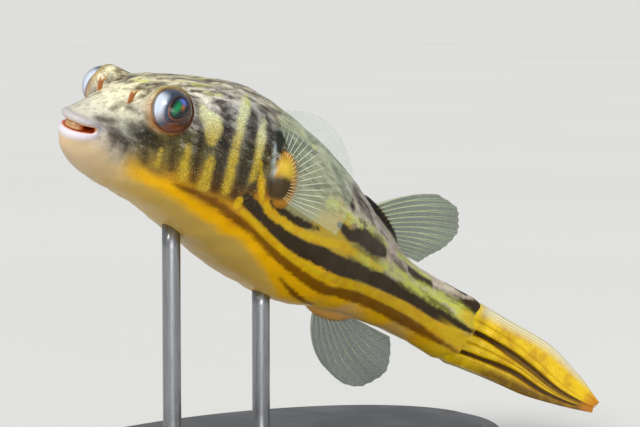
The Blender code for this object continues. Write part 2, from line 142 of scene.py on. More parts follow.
def ripples(points: Array, size: float, seed: int, waves: int = 14) -> Array:
    """Soft random undulation, from -1 to 1, as a sum of plane waves of about one length.

    Args:
        points: places, in millimetres, with the last axis of three.
        size: length of the waves.
        seed: seed of the waves' directions, lengths and starts.
        waves: how many waves are added.

    Returns:
        The undulation at each place.
    """
    draw = np.random.default_rng(seed)
    ways = draw.normal(size=(waves, 3))
    ways /= np.linalg.norm(ways, axis=1, keepdims=True)
    ways *= (2 * math.pi / (size * draw.uniform(0.7, 1.5, waves)))[:, None]
    total = np.zeros(points.shape[:-1])
    for way, start in zip(ways, draw.uniform(0, 2 * math.pi, waves)):
        total += np.sin(points @ way + start)
    return total / math.sqrt(waves) / 1.4


def linear(red: float, green: float, blue: float) -> Tone:
    """Turn a display colour given from 0 to 255 into the linear one that shaders take."""
    parts = np.array([red, green, blue]) / 255.0
    turned = np.where(parts <= 0.04045, parts / 12.92, ((parts + 0.055) / 1.055) ** 2.4)
    return tuple(float(part) for part in turned)


# ---- meshes ------------------------------------------------------------------------------------------------


def corners(*places: tuple[Array, Array]) -> Array:
    """UV places of faces' corners, from one pair of coordinates for each corner."""
    return np.stack([spread(*place) for place in places], -2)


@dataclass
class Shell:
    """A closed mesh in the making: points in millimetres, faces, UV corners and values at the points."""

    points: Array
    quads: Array
    triangles: Array
    quad_uv: Array
    triangle_uv: Array
    layers: dict[str, Array] = field(default_factory=dict)

    @staticmethod
    def tube(rings: Array, start: Array, end: Array, **values: Array) -> "Shell":
        """Close a grid of rings with a single point at each end.

        Args:
            rings: the points, rings x sides x 3.
            start: the point that the first ring fans to.
            end: the point that the last ring fans to.
            values: named values, or colours, of the rings' points, as rings x sides or what broadcasts to it.

        Returns:
            The shell, whose end points have the values of the first and last rings.
        """
        count, sides, _ = rings.shape
        points = np.concatenate([rings.reshape(-1, 3), np.reshape([start, end], (2, 3))])
        side = np.arange(sides)
        following = (side + 1) % sides
        first = np.arange(count - 1)[:, None] * sides
        last, tip = (count - 1) * sides, count * sides
        second = first + sides
        quads = np.stack([first + side, first + following, second + following, second + side], -1)
        triangles = np.concatenate([spread(tip, following, side),
                                    spread(tip + 1, last + side, last + following)])
        length = np.linalg.norm(np.diff(rings, axis=0), axis=-1).mean(axis=1)
        reach = np.concatenate([[0.0], np.cumsum(length)]) / length.sum() * 0.96 + 0.02
        low, high, middle = side / sides, (side + 1) / sides, (side / sides + (side + 1) / sides) / 2
        near, far = reach[:-1, None], reach[1:, None]
        quad_uv = corners((low, near), (high, near), (high, far), (low, far))
        triangle_uv = np.concatenate([corners((middle, 0.0), (high, reach[0]), (low, reach[0])),
                                      corners((middle, 1.0), (low, reach[-1]), (high, reach[-1]))])
        layers = {}
        for name, value in values.items():
            whole = np.broadcast_to(value, (count, sides, *value.shape[2:]))
            layers[name] = np.concatenate([*whole, whole[0, :1], whole[-1, :1]])
        shell = Shell(points, quads.reshape(-1, 4), triangles, quad_uv.reshape(-1, 4, 2), triangle_uv, layers)
        return shell.outward()

    @staticmethod
    def sheet(front: Array, back: Array) -> "Shell":
        """Close two grids of one shape, the two faces of a thin sheet, with a strip round their borders."""
        rows, columns, _ = front.shape
        points = np.concatenate([front.reshape(-1, 3), back.reshape(-1, 3)])
        shift = rows * columns
        corner = (np.arange(rows - 1)[:, None] * columns + np.arange(columns - 1)).ravel()
        face = np.stack([corner, corner + 1, corner + columns + 1, corner + columns], -1)
        along, across = np.arange(columns), np.arange(rows) * columns
        border = np.concatenate([along, across[1:] + columns - 1, along[::-1][1:] + (rows - 1) * columns,
                                 across[::-1][1:]])
        near, far = border[:-1], border[1:]
        rim = np.stack([far, near, near + shift, far + shift], -1)
        quads = np.concatenate([face, face[:, ::-1] + shift, rim])
        place = np.stack(np.meshgrid(np.linspace(0.02, 0.48, columns), np.linspace(0.02, 0.98, rows)), -1)
        uv = np.concatenate([place.reshape(-1, 2), place.reshape(-1, 2) + [0.5, 0.0]])
        return Shell(points, quads, np.zeros((0, 3), int), uv[quads], np.zeros((0, 3, 2))).outward()

    def outward(self) -> "Shell":
        """Turn the faces over if together they enclose a negative volume."""
        fan = np.concatenate([self.quads[:, [0, 1, 2]], self.quads[:, [0, 2, 3]], self.triangles])
        one, two, three = (self.points[fan[:, corner]] for corner in range(3))
        if np.einsum("ij,ij->", one, np.cross(two, three)) < 0:
            self.quads, self.triangles = self.quads[:, ::-1], self.triangles[:, ::-1]
            self.quad_uv, self.triangle_uv = self.quad_uv[:, ::-1], self.triangle_uv[:, ::-1]
        return self

    @staticmethod
    def joined(shells: list["Shell"]) -> "Shell":
        """Put shells that have the same named values in one mesh."""
        shifts = np.cumsum([0] + [len(shell.points) for shell in shells])
        layers = {name: np.concatenate([shell.layers[name] for shell in shells]) for name in shells[0].layers}
        return Shell(np.concatenate([shell.points for shell in shells]),
                     np.concatenate([shell.quads + shift for shell, shift in zip(shells, shifts)]),
                     np.concatenate([shell.triangles + shift for shell, shift in zip(shells, shifts)]),
                     np.concatenate([shell.quad_uv for shell in shells]),
                     np.concatenate([shell.triangle_uv for shell in shells]), layers)

    def piece(self, name: str, finish: bpy.types.Material, slot: str, *nodes: str) -> bpy.types.Object:
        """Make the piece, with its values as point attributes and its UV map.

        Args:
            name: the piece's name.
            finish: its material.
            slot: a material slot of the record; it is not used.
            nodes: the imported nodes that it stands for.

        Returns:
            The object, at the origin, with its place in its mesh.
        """
        mesh = bpy.data.meshes.new(name)
        mesh.vertices.add(len(self.points))
        mesh.vertices.foreach_set("co", (self.points * MM).astype(np.float32).ravel())
        loops = np.concatenate([self.quads.ravel(), self.triangles.ravel()]).astype(np.int32)
        mesh.loops.add(len(loops))
        mesh.loops.foreach_set("vertex_index", loops)
        starts = np.concatenate([np.arange(len(self.quads)) * 4,
                                 self.quads.size + np.arange(len(self.triangles)) * 3])
        mesh.polygons.add(len(starts))
        mesh.polygons.foreach_set("loop_start", starts.astype(np.int32))
        mesh.update(calc_edges=True)
        mesh.validate()
        uv = np.concatenate([self.quad_uv.reshape(-1, 2), self.triangle_uv.reshape(-1, 2)])
        mesh.uv_layers.new(name="OFBake").data.foreach_set("uv", uv.astype(np.float32).ravel())
        for layer, values in self.layers.items():
            if values.ndim == 1:
                made = mesh.attributes.new(layer, "FLOAT", "POINT")
                made.data.foreach_set("value", values.astype(np.float32))
            else:
                colour = np.concatenate([values, np.ones((len(values), 1))], axis=1).astype(np.float32)
                made = mesh.attributes.new(layer, "FLOAT_COLOR", "POINT")
                made.data.foreach_set("color", colour.ravel())
        mesh.shade_smooth()
        mesh.materials.append(finish)
        made = bpy.data.objects.new(name, mesh)
        bpy.context.scene.collection.objects.link(made)
        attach(made, "root")
        if nodes:
            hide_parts(*nodes)
        return made


def grid_normals(grid: Array, wrap: bool = True) -> Array:
    """Unit normals of a grid, from the cross product of its two central differences."""
    down = np.gradient(grid, axis=0)
    along = (np.roll(grid, -1, axis=1) - np.roll(grid, 1, axis=1)) / 2 if wrap else np.gradient(grid, axis=1)
    return unit(np.cross(along, down))


# ---- the body's form and pose ------------------------------------------------------------------------------


@dataclass(frozen=True)
class Station:
    """One cross-section of the body, measured in millimetres from the spine."""

    at: float
    back: float
    belly: float
    half_width: float
    twist: float
    roofing: float


@dataclass(frozen=True)
class BodyForm:
    """The body as cross-sections along a curved spine: an arched back, and a tail that swings to the left."""

    length: float = 116.0
    stations: tuple[Station, ...] = (
        Station(0.0, 0.7, 3.4, 2.2, 13.0, 1.0),
        Station(2.8, 2.35, 7.0, 4.7, 12.0, 0.97),
        Station(8.4, 5.2, 10.6, 7.4, 9.0, 0.89),
        Station(16.0, 9.7, 12.8, 12.0, 5.5, 0.7),
        Station(25.0, 12.2, 14.8, 14.5, 2.0, 0.58),
        Station(38.0, 15.2, 17.6, 16.2, -1.0, 1.0),
        Station(52.0, 14.5, 19.4, 16.1, -2.5, 1.12),
        Station(66.0, 12.4, 18.7, 14.4, -1.0, 1.1),
        Station(81.0, 8.8, 13.6, 10.5, 6.0, 1.08),
        Station(95.0, 6.2, 9.7, 7.1, 10.5, 1.05),
        Station(106.0, 7.1, 8.0, 5.2, 14.0, 1.04),
        Station(116.0, 8.1, 7.8, 3.8, 17.0, 1.03),
    )
    belly_rounding: float = 0.9
    bend_unit: float = 60.0
    arch_top: float = 48.0
    arch: tuple[float, float, float] = (-11.1, 6.3, -0.5)
    swing_start: float = 43.0
    head_swing: float = -1.2
    tail_swing: tuple[float, float] = (-1.8, -2.1)

    def measure(self, name: str, along: Array) -> Array:
        """One measure of the cross-section, such as half_width, at places along the body."""
        return smooth_through([s.at for s in self.stations], [getattr(s, name) for s in self.stations], along)

    def spine(self, along: Array) -> Array:
        """Points of the spine: its height and its swing are low powers of the distance along."""
        along = np.asarray(along, float)
        arch = (along - self.arch_top) / self.bend_unit
        swing = (along - self.swing_start) / self.bend_unit
        up = self.arch[0] * arch**2 + self.arch[1] * arch**3 + self.arch[2] * arch**4
        behind = self.tail_swing[0] * swing**2 + self.tail_swing[1] * swing**3
        return np.stack([along, np.where(swing < 0, self.head_swing * swing**2, behind), up], axis=-1)

    def axes(self, along: Array) -> Axes:
        """Unit directions tailward, to the right and up at places along the body, turned by its twist."""
        along = np.asarray(along, float)
        tailward = unit(self.spine(along + 0.5) - self.spine(along - 0.5))
        right = unit(np.stack([-tailward[..., 1], tailward[..., 0], 0 * tailward[..., 0]], axis=-1))
        up = np.cross(tailward, right)
        twist = np.radians(self.measure("twist", np.clip(along, 0.0, self.length)))[..., None]
        cosine, sine = np.cos(twist), np.sin(twist)
        return tailward, cosine * right + sine * up, cosine * up - sine * right

    def inside(self, along: Array, across: Array, up: Array) -> Array:
        """Points from their place along the spine and their offsets across and up from it."""
        along, across, up = np.broadcast_arrays(*(np.asarray(part, float) for part in (along, across, up)))
        _, right, upward = self.axes(along)
        return self.spine(along) + right * across[..., None] + upward * up[..., None]

    def section(self, along: Array, angle: Array) -> tuple[Array, Array]:
        """Across and up offsets of the surface, a superellipse with its own power above and below."""
        back, belly = self.measure("back", along), self.measure("belly", along)
        cosine, sine = np.cos(angle), np.sin(angle)
        power = np.where(sine > 0, self.measure("roofing", along), self.belly_rounding)
        across = self.measure("half_width", along) * np.sign(cosine) * np.abs(cosine) ** power
        return across, np.where(sine > 0, back, -belly) * np.abs(sine) ** power

    def surface(self, along: Array, angle: Array) -> Array:
        """Points of the plain body surface at an angle, in radians, round each place."""
        along, angle = np.broadcast_arrays(np.asarray(along, float), np.asarray(angle, float))
        return self.inside(along, *self.section(along, angle))

    def turned_plane(self, along: float, lean: float = 0.0, swing: float = 0.0) -> Axes:
        """Tailward, side and up directions at a station, swung and then leaned to the left, in degrees."""
        tailward, right, up = self.axes(along)
        swing, lean = math.radians(swing), math.radians(lean)
        swung_tailward = math.cos(swing) * tailward - math.sin(swing) * right
        swung_right = math.cos(swing) * right + math.sin(swing) * tailward
        leaned_up = math.cos(lean) * up - math.sin(lean) * swung_right
        return swung_tailward, math.cos(lean) * swung_right + math.sin(lean) * up, leaned_up


BODY = BodyForm()


@dataclass(frozen=True)
class EyePlace:
    """Where the eyeballs sit in the head. A sign of -1 stands for the left eye and 1 for the right."""

    at: float = 14.6
    up: float = 5.8
    across_left: float = 11.0
    across_right: float = 9.7
    radius: float = 4.27
    gaze_up: float = 14.0
    opening_forward: float = 20.0

    def across(self, sign: int) -> float:
        """How far off the spine the eyeball's centre is."""
        return self.across_left if sign < 0 else self.across_right

    def centre(self, sign: int) -> Array:
        """The eyeball's centre."""
        return BODY.inside(self.at, sign * self.across(sign), self.up)

    def frame(self, sign: int) -> Axes:
        """Unit directions of the gaze, tailward and up, with the gaze raised a little."""
        tailward, right, up = BODY.axes(self.at)
        lift = math.radians(self.gaze_up)
        out, cosine, sine = sign * right, math.cos(lift), math.sin(lift)
        return cosine * out + sine * up, tailward, cosine * up - sine * out

    def opening(self, sign: int) -> Array:
        """The direction that the opening between the lids faces: the gaze, turned towards the snout."""
        gaze, tailward, _ = self.frame(sign)
        turn = math.radians(self.opening_forward)
        return math.cos(turn) * gaze - math.sin(turn) * tailward


EYES = EyePlace()


@dataclass(frozen=True)
class Pose:
    """Turns the fish nose up and a little to its side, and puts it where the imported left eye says."""

    nose_up: float = 27.0
    roll: float = 5.0

    def turn(self) -> Array:
        """The rotation: first about the body's length, then nose up."""
        roll, pitch = math.radians(self.roll), math.radians(self.nose_up)
        cosine, sine = math.cos(roll), math.sin(roll)
        about_x = np.array([[1, 0, 0], [0, cosine, -sine], [0, sine, cosine]])
        cosine, sine = math.cos(pitch), math.sin(pitch)
        about_y = np.array([[cosine, 0, sine], [0, 1, 0], [-sine, 0, cosine]])
        return about_y @ about_x

    def placed(self, shell: Shell) -> Shell:
        """Move a shell from the fish's own frame into the model's, still in millimetres."""
        anchor = np.mean([np.array(corner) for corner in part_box("eye_left")], axis=0) / MM
        shell.points = shell.points @ self.turn().T + (anchor - self.turn() @ EYES.centre(-1))
        return shell


POSE = Pose()


@dataclass(frozen=True)
class Swelling:
    """An ellipsoid that raises the skin, with its axes along, across and up the body."""

    at: float
    across: float
    up: float
    radii: tuple[float, float, float]
    tilt: float = 0.0
    blend: float = 1.0

    def distance(self, points: Array) -> Array:
        """Roughly how far each point lies outside the ellipsoid, in millimetres."""
        local = self.local(points - self.centre())
        size = np.linalg.norm(local, axis=-1)
        return size * (size - 1.0) / np.maximum(np.linalg.norm(local / self.radii, axis=-1), 1e-6)

    def centre(self) -> Array:
        """The ellipsoid's centre."""
        return BODY.inside(self.at, self.across, self.up)

    def local(self, offset: Array) -> Array:
        """Offsets from the centre along the ellipsoid's own axes, in units of its radii."""
        tailward, right, up = BODY.axes(self.at)
        tilt = math.radians(self.tilt)
        ahead = math.cos(tilt) * tailward - math.sin(tilt) * up
        above = math.cos(tilt) * up + math.sin(tilt) * tailward
        return np.stack([offset @ ahead, offset @ right, offset @ above], -1) / self.radii

    def rise(self, offset: Array, way: Array) -> Array:
        """How far along a direction each offset has to go to leave the ellipsoid, or 0 if it is outside.

        It is the larger root of the quadratic for the unit sphere in the ellipsoid's own units.
        """
        start, step = self.local(offset), self.local(way[None])[0]
        square, cross, rest = step @ step, start @ step, (start**2).sum(-1) - 1.0
        root = np.sqrt(np.maximum(cross**2 - square * rest, 0.0))
        return np.where(rest < 0, (root - cross) / square, 0.0)


PECTORAL_AT = 42.6
DORSAL_AT = 82.5
ANAL_AT = 84.0
DORSAL_BASE = Swelling(DORSAL_AT, 0.0, float(BODY.measure("back", DORSAL_AT)) - 0.4, (8.0, 2.3, 2.6), 15.0)
ANAL_BASE = Swelling(ANAL_AT, 0.0, 0.6 - float(BODY.measure("belly", ANAL_AT)), (6.0, 2.2, 2.4), -20.0, 1.2)
PECTORAL_BASES = {sign: Swelling(PECTORAL_AT, sign * 15.8, -1.2, (3.1, 2.4, 5.5), -18.0, 0.5)
                  for sign in SIGNS.values()}


# ---- markings ----------------------------------------------------------------------------------------------


class Mark:
    """A stripe, bar or blotch, as (station, angle, half width) along its middle, the same on both flanks."""

    def __init__(self, *path: tuple[float, float, float], strength: float = 1.0) -> None:
        """Keep the mark's shape.

        Args:
            path: places along its middle.
            strength: 1 for a full mark, and less for one that is drawn in and fainter.
        """
        self.path, self.strength = path, strength

    def inside(self, points: Array) -> Array:
        """How far inside the mark each point lies, in millimetres: the largest of width less distance."""
        line = np.array(self.path if len(self.path) > 1 else self.path * 2, float)
        hops = np.hypot(np.diff(line[:, 0]), np.diff(line[:, 1]) * 0.2) + 1e-6
        steps = np.concatenate([[0.0], np.cumsum(hops)])
        fine = np.linspace(0.0, steps[-1], max(2, int(steps[-1] / 0.5)))
        along, angle, width = (smooth_through(steps, line[:, column], fine) for column in range(3))
        found = np.full(len(points), FAR_OUTSIDE)
        for turned in (np.radians(angle), np.radians(180.0 - angle)):
            for place, reach in zip(BODY.surface(along, turned), width):
                gap = np.sqrt(((points - place) ** 2).sum(axis=1))
                np.maximum(found, reach - gap, out=found)
        return found + (self.strength - 1.0)


MARKS = {
    "dark": (
        Mark((35.5, 203, 1.2), (40, 206, 1.5), (45, 209, 1.6), (55, 211, 1.9), (62, 207, 2.1),
             (70, 203, 2.1), (80, 193, 1.9), (90, 186, 1.8), (100, 174, 2.2), (105, 171, 2.0),
             (110, 169, 1.2), (116, 168, 0.45)),
        Mark((62, 185, 0.7), (66, 185, 1.2), (71, 178, 1.9), (76, 171, 2.3), (80, 165, 1.3)),
        Mark((42.5, 197, 1.0), (46, 200, 1.3), (51, 199, 1.1), (57, 195, 0.4)),
        Mark((91.5, 142, 1.1), (95, 138, 1.6), (99, 133, 1.2)),
        Mark((109, 134, 1.0), (112.5, 128, 1.9), (115.5, 116, 1.5)),
        Mark((105, 90, 0.7), (110, 90, 1.3)),
    ),
    "dusk": (
        Mark((25.5, 160, 0.9), (26, 175, 1.3), (26.8, 192, 1.3), (28, 204, 1.2)),
        Mark((31.5, 146, 1.1), (32, 165, 1.3), (32.3, 185, 1.3), (33, 203, 1.2)),
        Mark((36, 146, 0.8), (36, 165, 0.8), (36, 185, 0.8), (36, 200, 1.1)),
        Mark((20.4, 168, 0.8), (21.4, 182, 1.0), (22.2, 196, 1.0), (22.8, 204, 0.9), strength=0.7),
        Mark((16.8, 186, 1.0), (17.6, 200, 0.9), strength=0.45),
        Mark((12, 184, 1.2), (12.6, 200, 1.0), strength=0.5),
        Mark((5.6, 170, 0.8), (7.5, 184, 1.3), (9, 190, 0.9), strength=0.7),
        Mark((9.5, 166, 1.0), (11.5, 176, 1.5), (13.5, 183, 1.2)),
        Mark((4.6, 140, 0.6), (6.5, 150, 0.8)),
        Mark((9.8, 128, 0.7), (10.2, 136, 0.6)),
        Mark((11.6, 134, 0.6), (11.2, 143, 0.7)),
        Mark((7.6, 122, 0.5), (9.2, 114, 0.4)),
        Mark((12.5, 62, 0.6), (14.5, 72, 0.9), (17, 80, 0.8)),
        Mark((13.2, 99, 0.8), (16.5, 101, 1.0)),
        Mark((24, 97, 0.7), (28, 99, 1.0), (31, 104, 0.6)),
        Mark((16.5, 111, 0.5), (20.5, 112, 0.7), (25, 116, 0.8), (29, 119, 0.5)),
        Mark((30, 112, 0.6), (34, 118, 0.8), (38, 122, 0.6)),
        Mark((20, 122, 0.3), (26, 131, 0.5), (31, 133, 0.3)),
        Mark((34.5, 139, 0.8), (37.5, 134, 0.7), (41, 128, 0.5)),
        Mark((33, 104, 0.6), (38, 107, 0.9), (44, 110, 0.7)),
        Mark((18.5, 88, 0.5), (23, 86, 0.7), (28, 85, 0.6)),
        Mark((19.6, 138, 0.7), (20.2, 150, 0.7), (19.8, 165, 0.6)),
        Mark((23.5, 143, 0.5), (25.5, 150, 0.6), (24.5, 158, 0.5)),
        Mark((46, 146, 1.2), (50, 144, 0.9)),
        Mark((41, 150, 1.0), (44, 154, 0.9)),
        Mark((50, 132, 0.8), (54, 128, 0.8)),
        Mark((57, 146, 1.2), (61, 158, 1.4), (64, 166, 0.9)),
        Mark((63, 146, 1.0), (68, 150, 1.5), (73, 150, 0.9)),
        Mark((58, 122, 1.0), (64, 118, 1.1), (70, 116, 1.0)),
        Mark((84, 158, 0.5), (90, 156, 0.7)),
        Mark((102, 138, 0.6), (108, 135, 1.2), (112, 134, 1.0)),
    ),
    "brown": (
        Mark((20, 214, 0.5), (30, 216, 0.9), (40, 220, 1.0), (50, 223.5, 1.1), (60, 225.5, 1.2),
             (70, 224.5, 1.4), (80, 218, 1.5), (90, 213, 1.45), (101, 211, 1.4), (108, 209, 0.9),
             (113, 207, 0.5), (116, 207, 0.3)),
        Mark((59, 239, 0.4), (67, 243, 0.8), (75, 249, 0.5)),
    ),
    "gold": (
        Mark((35.4, 180, 0.4), (37.2, 190, 0.7), (40, 199, 0.8), (44, 203, 0.9), (50, 204, 0.9),
             (58, 200.5, 0.9), (66, 193, 0.9), (74, 188.5, 0.8), (82, 183, 0.6)),
        Mark((37, 212, 0.6), (45, 216, 0.7), (55, 219.5, 0.7), (65, 217, 0.9), (72, 212.5, 1.0),
             (80, 206.5, 1.0), (90, 200, 1.1), (100, 194, 1.1), (108, 193, 1.1), (114, 187, 1.0)),
        Mark((34.6, 206, 0.8), (34.9, 210, 0.8)),
    ),
    "glow": (
        Mark((14.6, 187, 0.3), (14.8, 199, 0.5), strength=0.6),
        Mark((19.2, 182, 0.5), (19.8, 194, 0.6), (20.6, 205, 0.6), strength=0.9),
        Mark((22.4, 163, 1.1), (23.2, 171, 1.7), (23.4, 178, 0.9)),
        Mark((20.8, 152, 0.7), (21.2, 160, 0.9)),
        Mark((24.4, 186, 0.5), (25, 197, 0.8), (25.6, 207, 1.0)),
        Mark((30.6, 134, 0.8), (29.8, 146, 0.9), (28.8, 160, 0.8), (28.8, 176, 0.7), (29.6, 190, 0.7),
             (30.4, 203, 0.6)),
        Mark((34.6, 150, 0.4), (34, 165, 0.7), (34.4, 180, 0.6), (34.8, 190, 0.5)),
    ),
    # Pale green-yellow marks: partly the fish's own pale spots and lines, partly painted highlights on the
    # cheeks and along the back.
    "lime_and_highlights": (
        Mark((56.5, 180, 0.9), (59, 179, 1.0)),
        Mark((62, 178, 0.8), (65, 176, 0.8)),
        Mark((67.5, 172, 0.9), (69, 170, 0.7)),
        Mark((71, 165, 0.6), (76, 156, 0.8), (80, 152, 0.7)),
        Mark((83, 176, 1.0), (90, 166, 1.3), (100, 152, 1.6), (108, 147, 1.8), (115, 150, 1.2)),
        Mark((72, 190, 0.6), (78, 186, 0.8), (83, 180, 0.8)),
        Mark((50.5, 141, 0.8)),
        Mark((53.6, 138, 0.7)),
        Mark((47.5, 133, 0.6)),
        Mark((86, 142, 0.7), (93, 122, 0.9), (99, 118, 0.8)),
        Mark((15, 91, 0.9)),
        Mark((22, 110, 0.8), (24.5, 111, 0.5)),
        Mark((27, 92, 0.6), (30, 93, 0.5)),
        Mark((31.4, 127, 0.5), (30.6, 138, 0.7), strength=0.8),
        Mark((22.4, 128, 0.6), (24.6, 131, 0.5), strength=0.8),
    ),
}
FACE_FOLDS = (
    Mark((6.6, 172, 0.1), (7.4, 184, 0.14), (7.2, 198, 0.1)),
    Mark((8.6, 168, 0.05), (9.6, 186, 0.1), (9.4, 204, 0.05)),
    Mark((8.4, 128, 0.05), (9.0, 142, 0.1), (9.6, 156, 0.05)),
    Mark((21.3, 140, 0.05), (22.0, 155, 0.1), (21.2, 172, 0.05)),
    Mark((26.6, 152, 0.02), (29.4, 145, 0.08), (31.4, 142, 0.02)),
)

# Soft patches of ground colour: the station and angle of each one's middle, its reach and its display colour.
GROUND = (
    (1, 270, 4, 206, 190, 166), (4, 235, 4, 204, 188, 162), (4, 90, 3, 206, 202, 188),
    (8, 90, 4, 238, 236, 204), (9, 112, 3, 226, 220, 190), (4.5, 130, 2.5, 160, 158, 150),
    (6.5, 150, 2.2, 150, 150, 144), (9, 153, 1.5, 206, 212, 184), (11, 118, 2, 238, 234, 212),
    (10.5, 135, 1.5, 132, 122, 120), (4, 172, 1.6, 150, 130, 128), (6.5, 186, 2, 138, 128, 122),
    (6, 205, 3, 186, 172, 146), (9.5, 180, 2.4, 62, 66, 64), (12, 196, 2.5, 98, 88, 52),
    (16, 190, 3, 98, 88, 44), (21, 188, 3, 98, 90, 46), (27, 182, 3, 112, 108, 88),
    (32, 185, 3, 112, 106, 78), (36, 180, 2, 126, 112, 66), (14, 206, 2.4, 170, 136, 44),
    (22, 208, 3, 180, 132, 20), (30, 207, 3, 140, 100, 22), (20, 138, 3, 236, 234, 222),
    (26, 138, 3, 222, 222, 218), (33, 144, 3, 186, 186, 180), (24, 156, 2.5, 150, 150, 146),
    (30, 160, 2.5, 140, 140, 132), (20, 122, 3, 238, 232, 204), (28, 122, 3, 226, 218, 194),
    (36, 122, 3, 226, 222, 190), (14, 95, 4, 226, 220, 178), (21, 98, 4, 206, 196, 152),
    (28, 92, 4, 184, 174, 134), (34, 95, 4, 172, 164, 130), (45, 98, 5, 158, 152, 112),
    (45, 128, 4, 196, 196, 148), (55, 95, 5, 132, 122, 86), (54, 138, 4, 186, 184, 148),
    (66, 100, 4, 128, 116, 88), (75, 98, 4, 172, 160, 134), (66, 146, 3, 196, 190, 168),
    # The pale pinkish patches at stations 75, 86 and 103 near the back are partly the back's pale line and
    # partly a painted highlight along the ridge.
    (75, 136, 3, 214, 204, 194), (85, 104, 3, 226, 214, 190), (86, 152, 3, 200, 184, 170),
    (95, 104, 3, 228, 218, 190), (103, 118, 3, 222, 206, 196), (104, 95, 2.5, 226, 216, 178),
    (112, 104, 2.5, 196, 182, 164), (40.5, 160, 2.4, 64, 64, 46), (43, 178, 2, 176, 132, 44),
    (45, 158, 2.4, 120, 118, 84), (50, 178, 4, 160, 156, 110), (60, 190, 3, 196, 166, 50),
    (78, 186, 3, 140, 128, 50), (40, 210, 3, 196, 136, 20), (45, 226, 3, 236, 176, 8),
    (60, 232, 4, 246, 186, 8), (75, 234, 3, 246, 188, 8), (90, 225, 3, 240, 184, 8),
    (105, 226, 3, 232, 176, 10), (116, 215, 3, 226, 182, 30), (116, 150, 3, 214, 180, 60),
    (100, 262, 3, 208, 168, 90), (86, 264, 3, 224, 180, 118), (112, 262, 3, 222, 186, 60),
    (20, 220, 3, 232, 170, 8), (32, 224, 3, 236, 172, 8), (12, 214, 2, 204, 160, 50),
)

# The angle at which the pale belly starts, by station.
BELLY_EDGE = ((0.0, 182.0), (5.0, 196.0), (9.0, 208.0), (13.0, 217.0), (20.0, 223.0), (28.0, 230.0),
              (36.0, 232.0), (42.0, 229.0), (50.0, 234.0), (58.0, 243.0), (66.0, 255.0), (73.0, 268.0),
              (80.0, 284.0))


# ---- shader nodes ------------------------------------------------------------------------------------------


class Wire:
    """An output of a shader node, which takes the arithmetic of numbers by adding further nodes."""

    def __init__(self, shade: "Shade", socket: bpy.types.NodeSocket) -> None:
        """Keep the output and the material that it belongs to."""
        self.shade, self.socket = shade, socket

    def __add__(self, other: object) -> "Wire":
        """The sum."""
        return self.shade.math("ADD", self, other)

    def __sub__(self, other: object) -> "Wire":
        """The difference."""
        return self.shade.math("SUBTRACT", self, other)

    def __mul__(self, other: object) -> "Wire":
        """The product."""
        return self.shade.math("MULTIPLY", self, other)

    def __pow__(self, other: object) -> "Wire":
        """The power."""
        return self.shade.math("POWER", self, other)

    def step(self, low: float, high: float, bottom: float = 0.0, top: float = 1.0) -> "Wire":
        """A smooth rise from bottom to top as the value goes from low to high."""
        made = self.shade.node("ShaderNodeMapRange", interpolation_type="SMOOTHSTEP")
        settings = {"Value": self, "From Min": low, "From Max": high, "To Min": bottom, "To Max": top}
        for name, setting in settings.items():
            self.shade.feed(made.inputs[name], setting)
        return Wire(self.shade, made.outputs["Result"])

    def band(self, middle: float, reach: float) -> "Wire":
        """1 in the middle of a band, falling to 0 at its edge."""
        return self.shade.math("ABSOLUTE", self - middle).step(reach, 0.0)


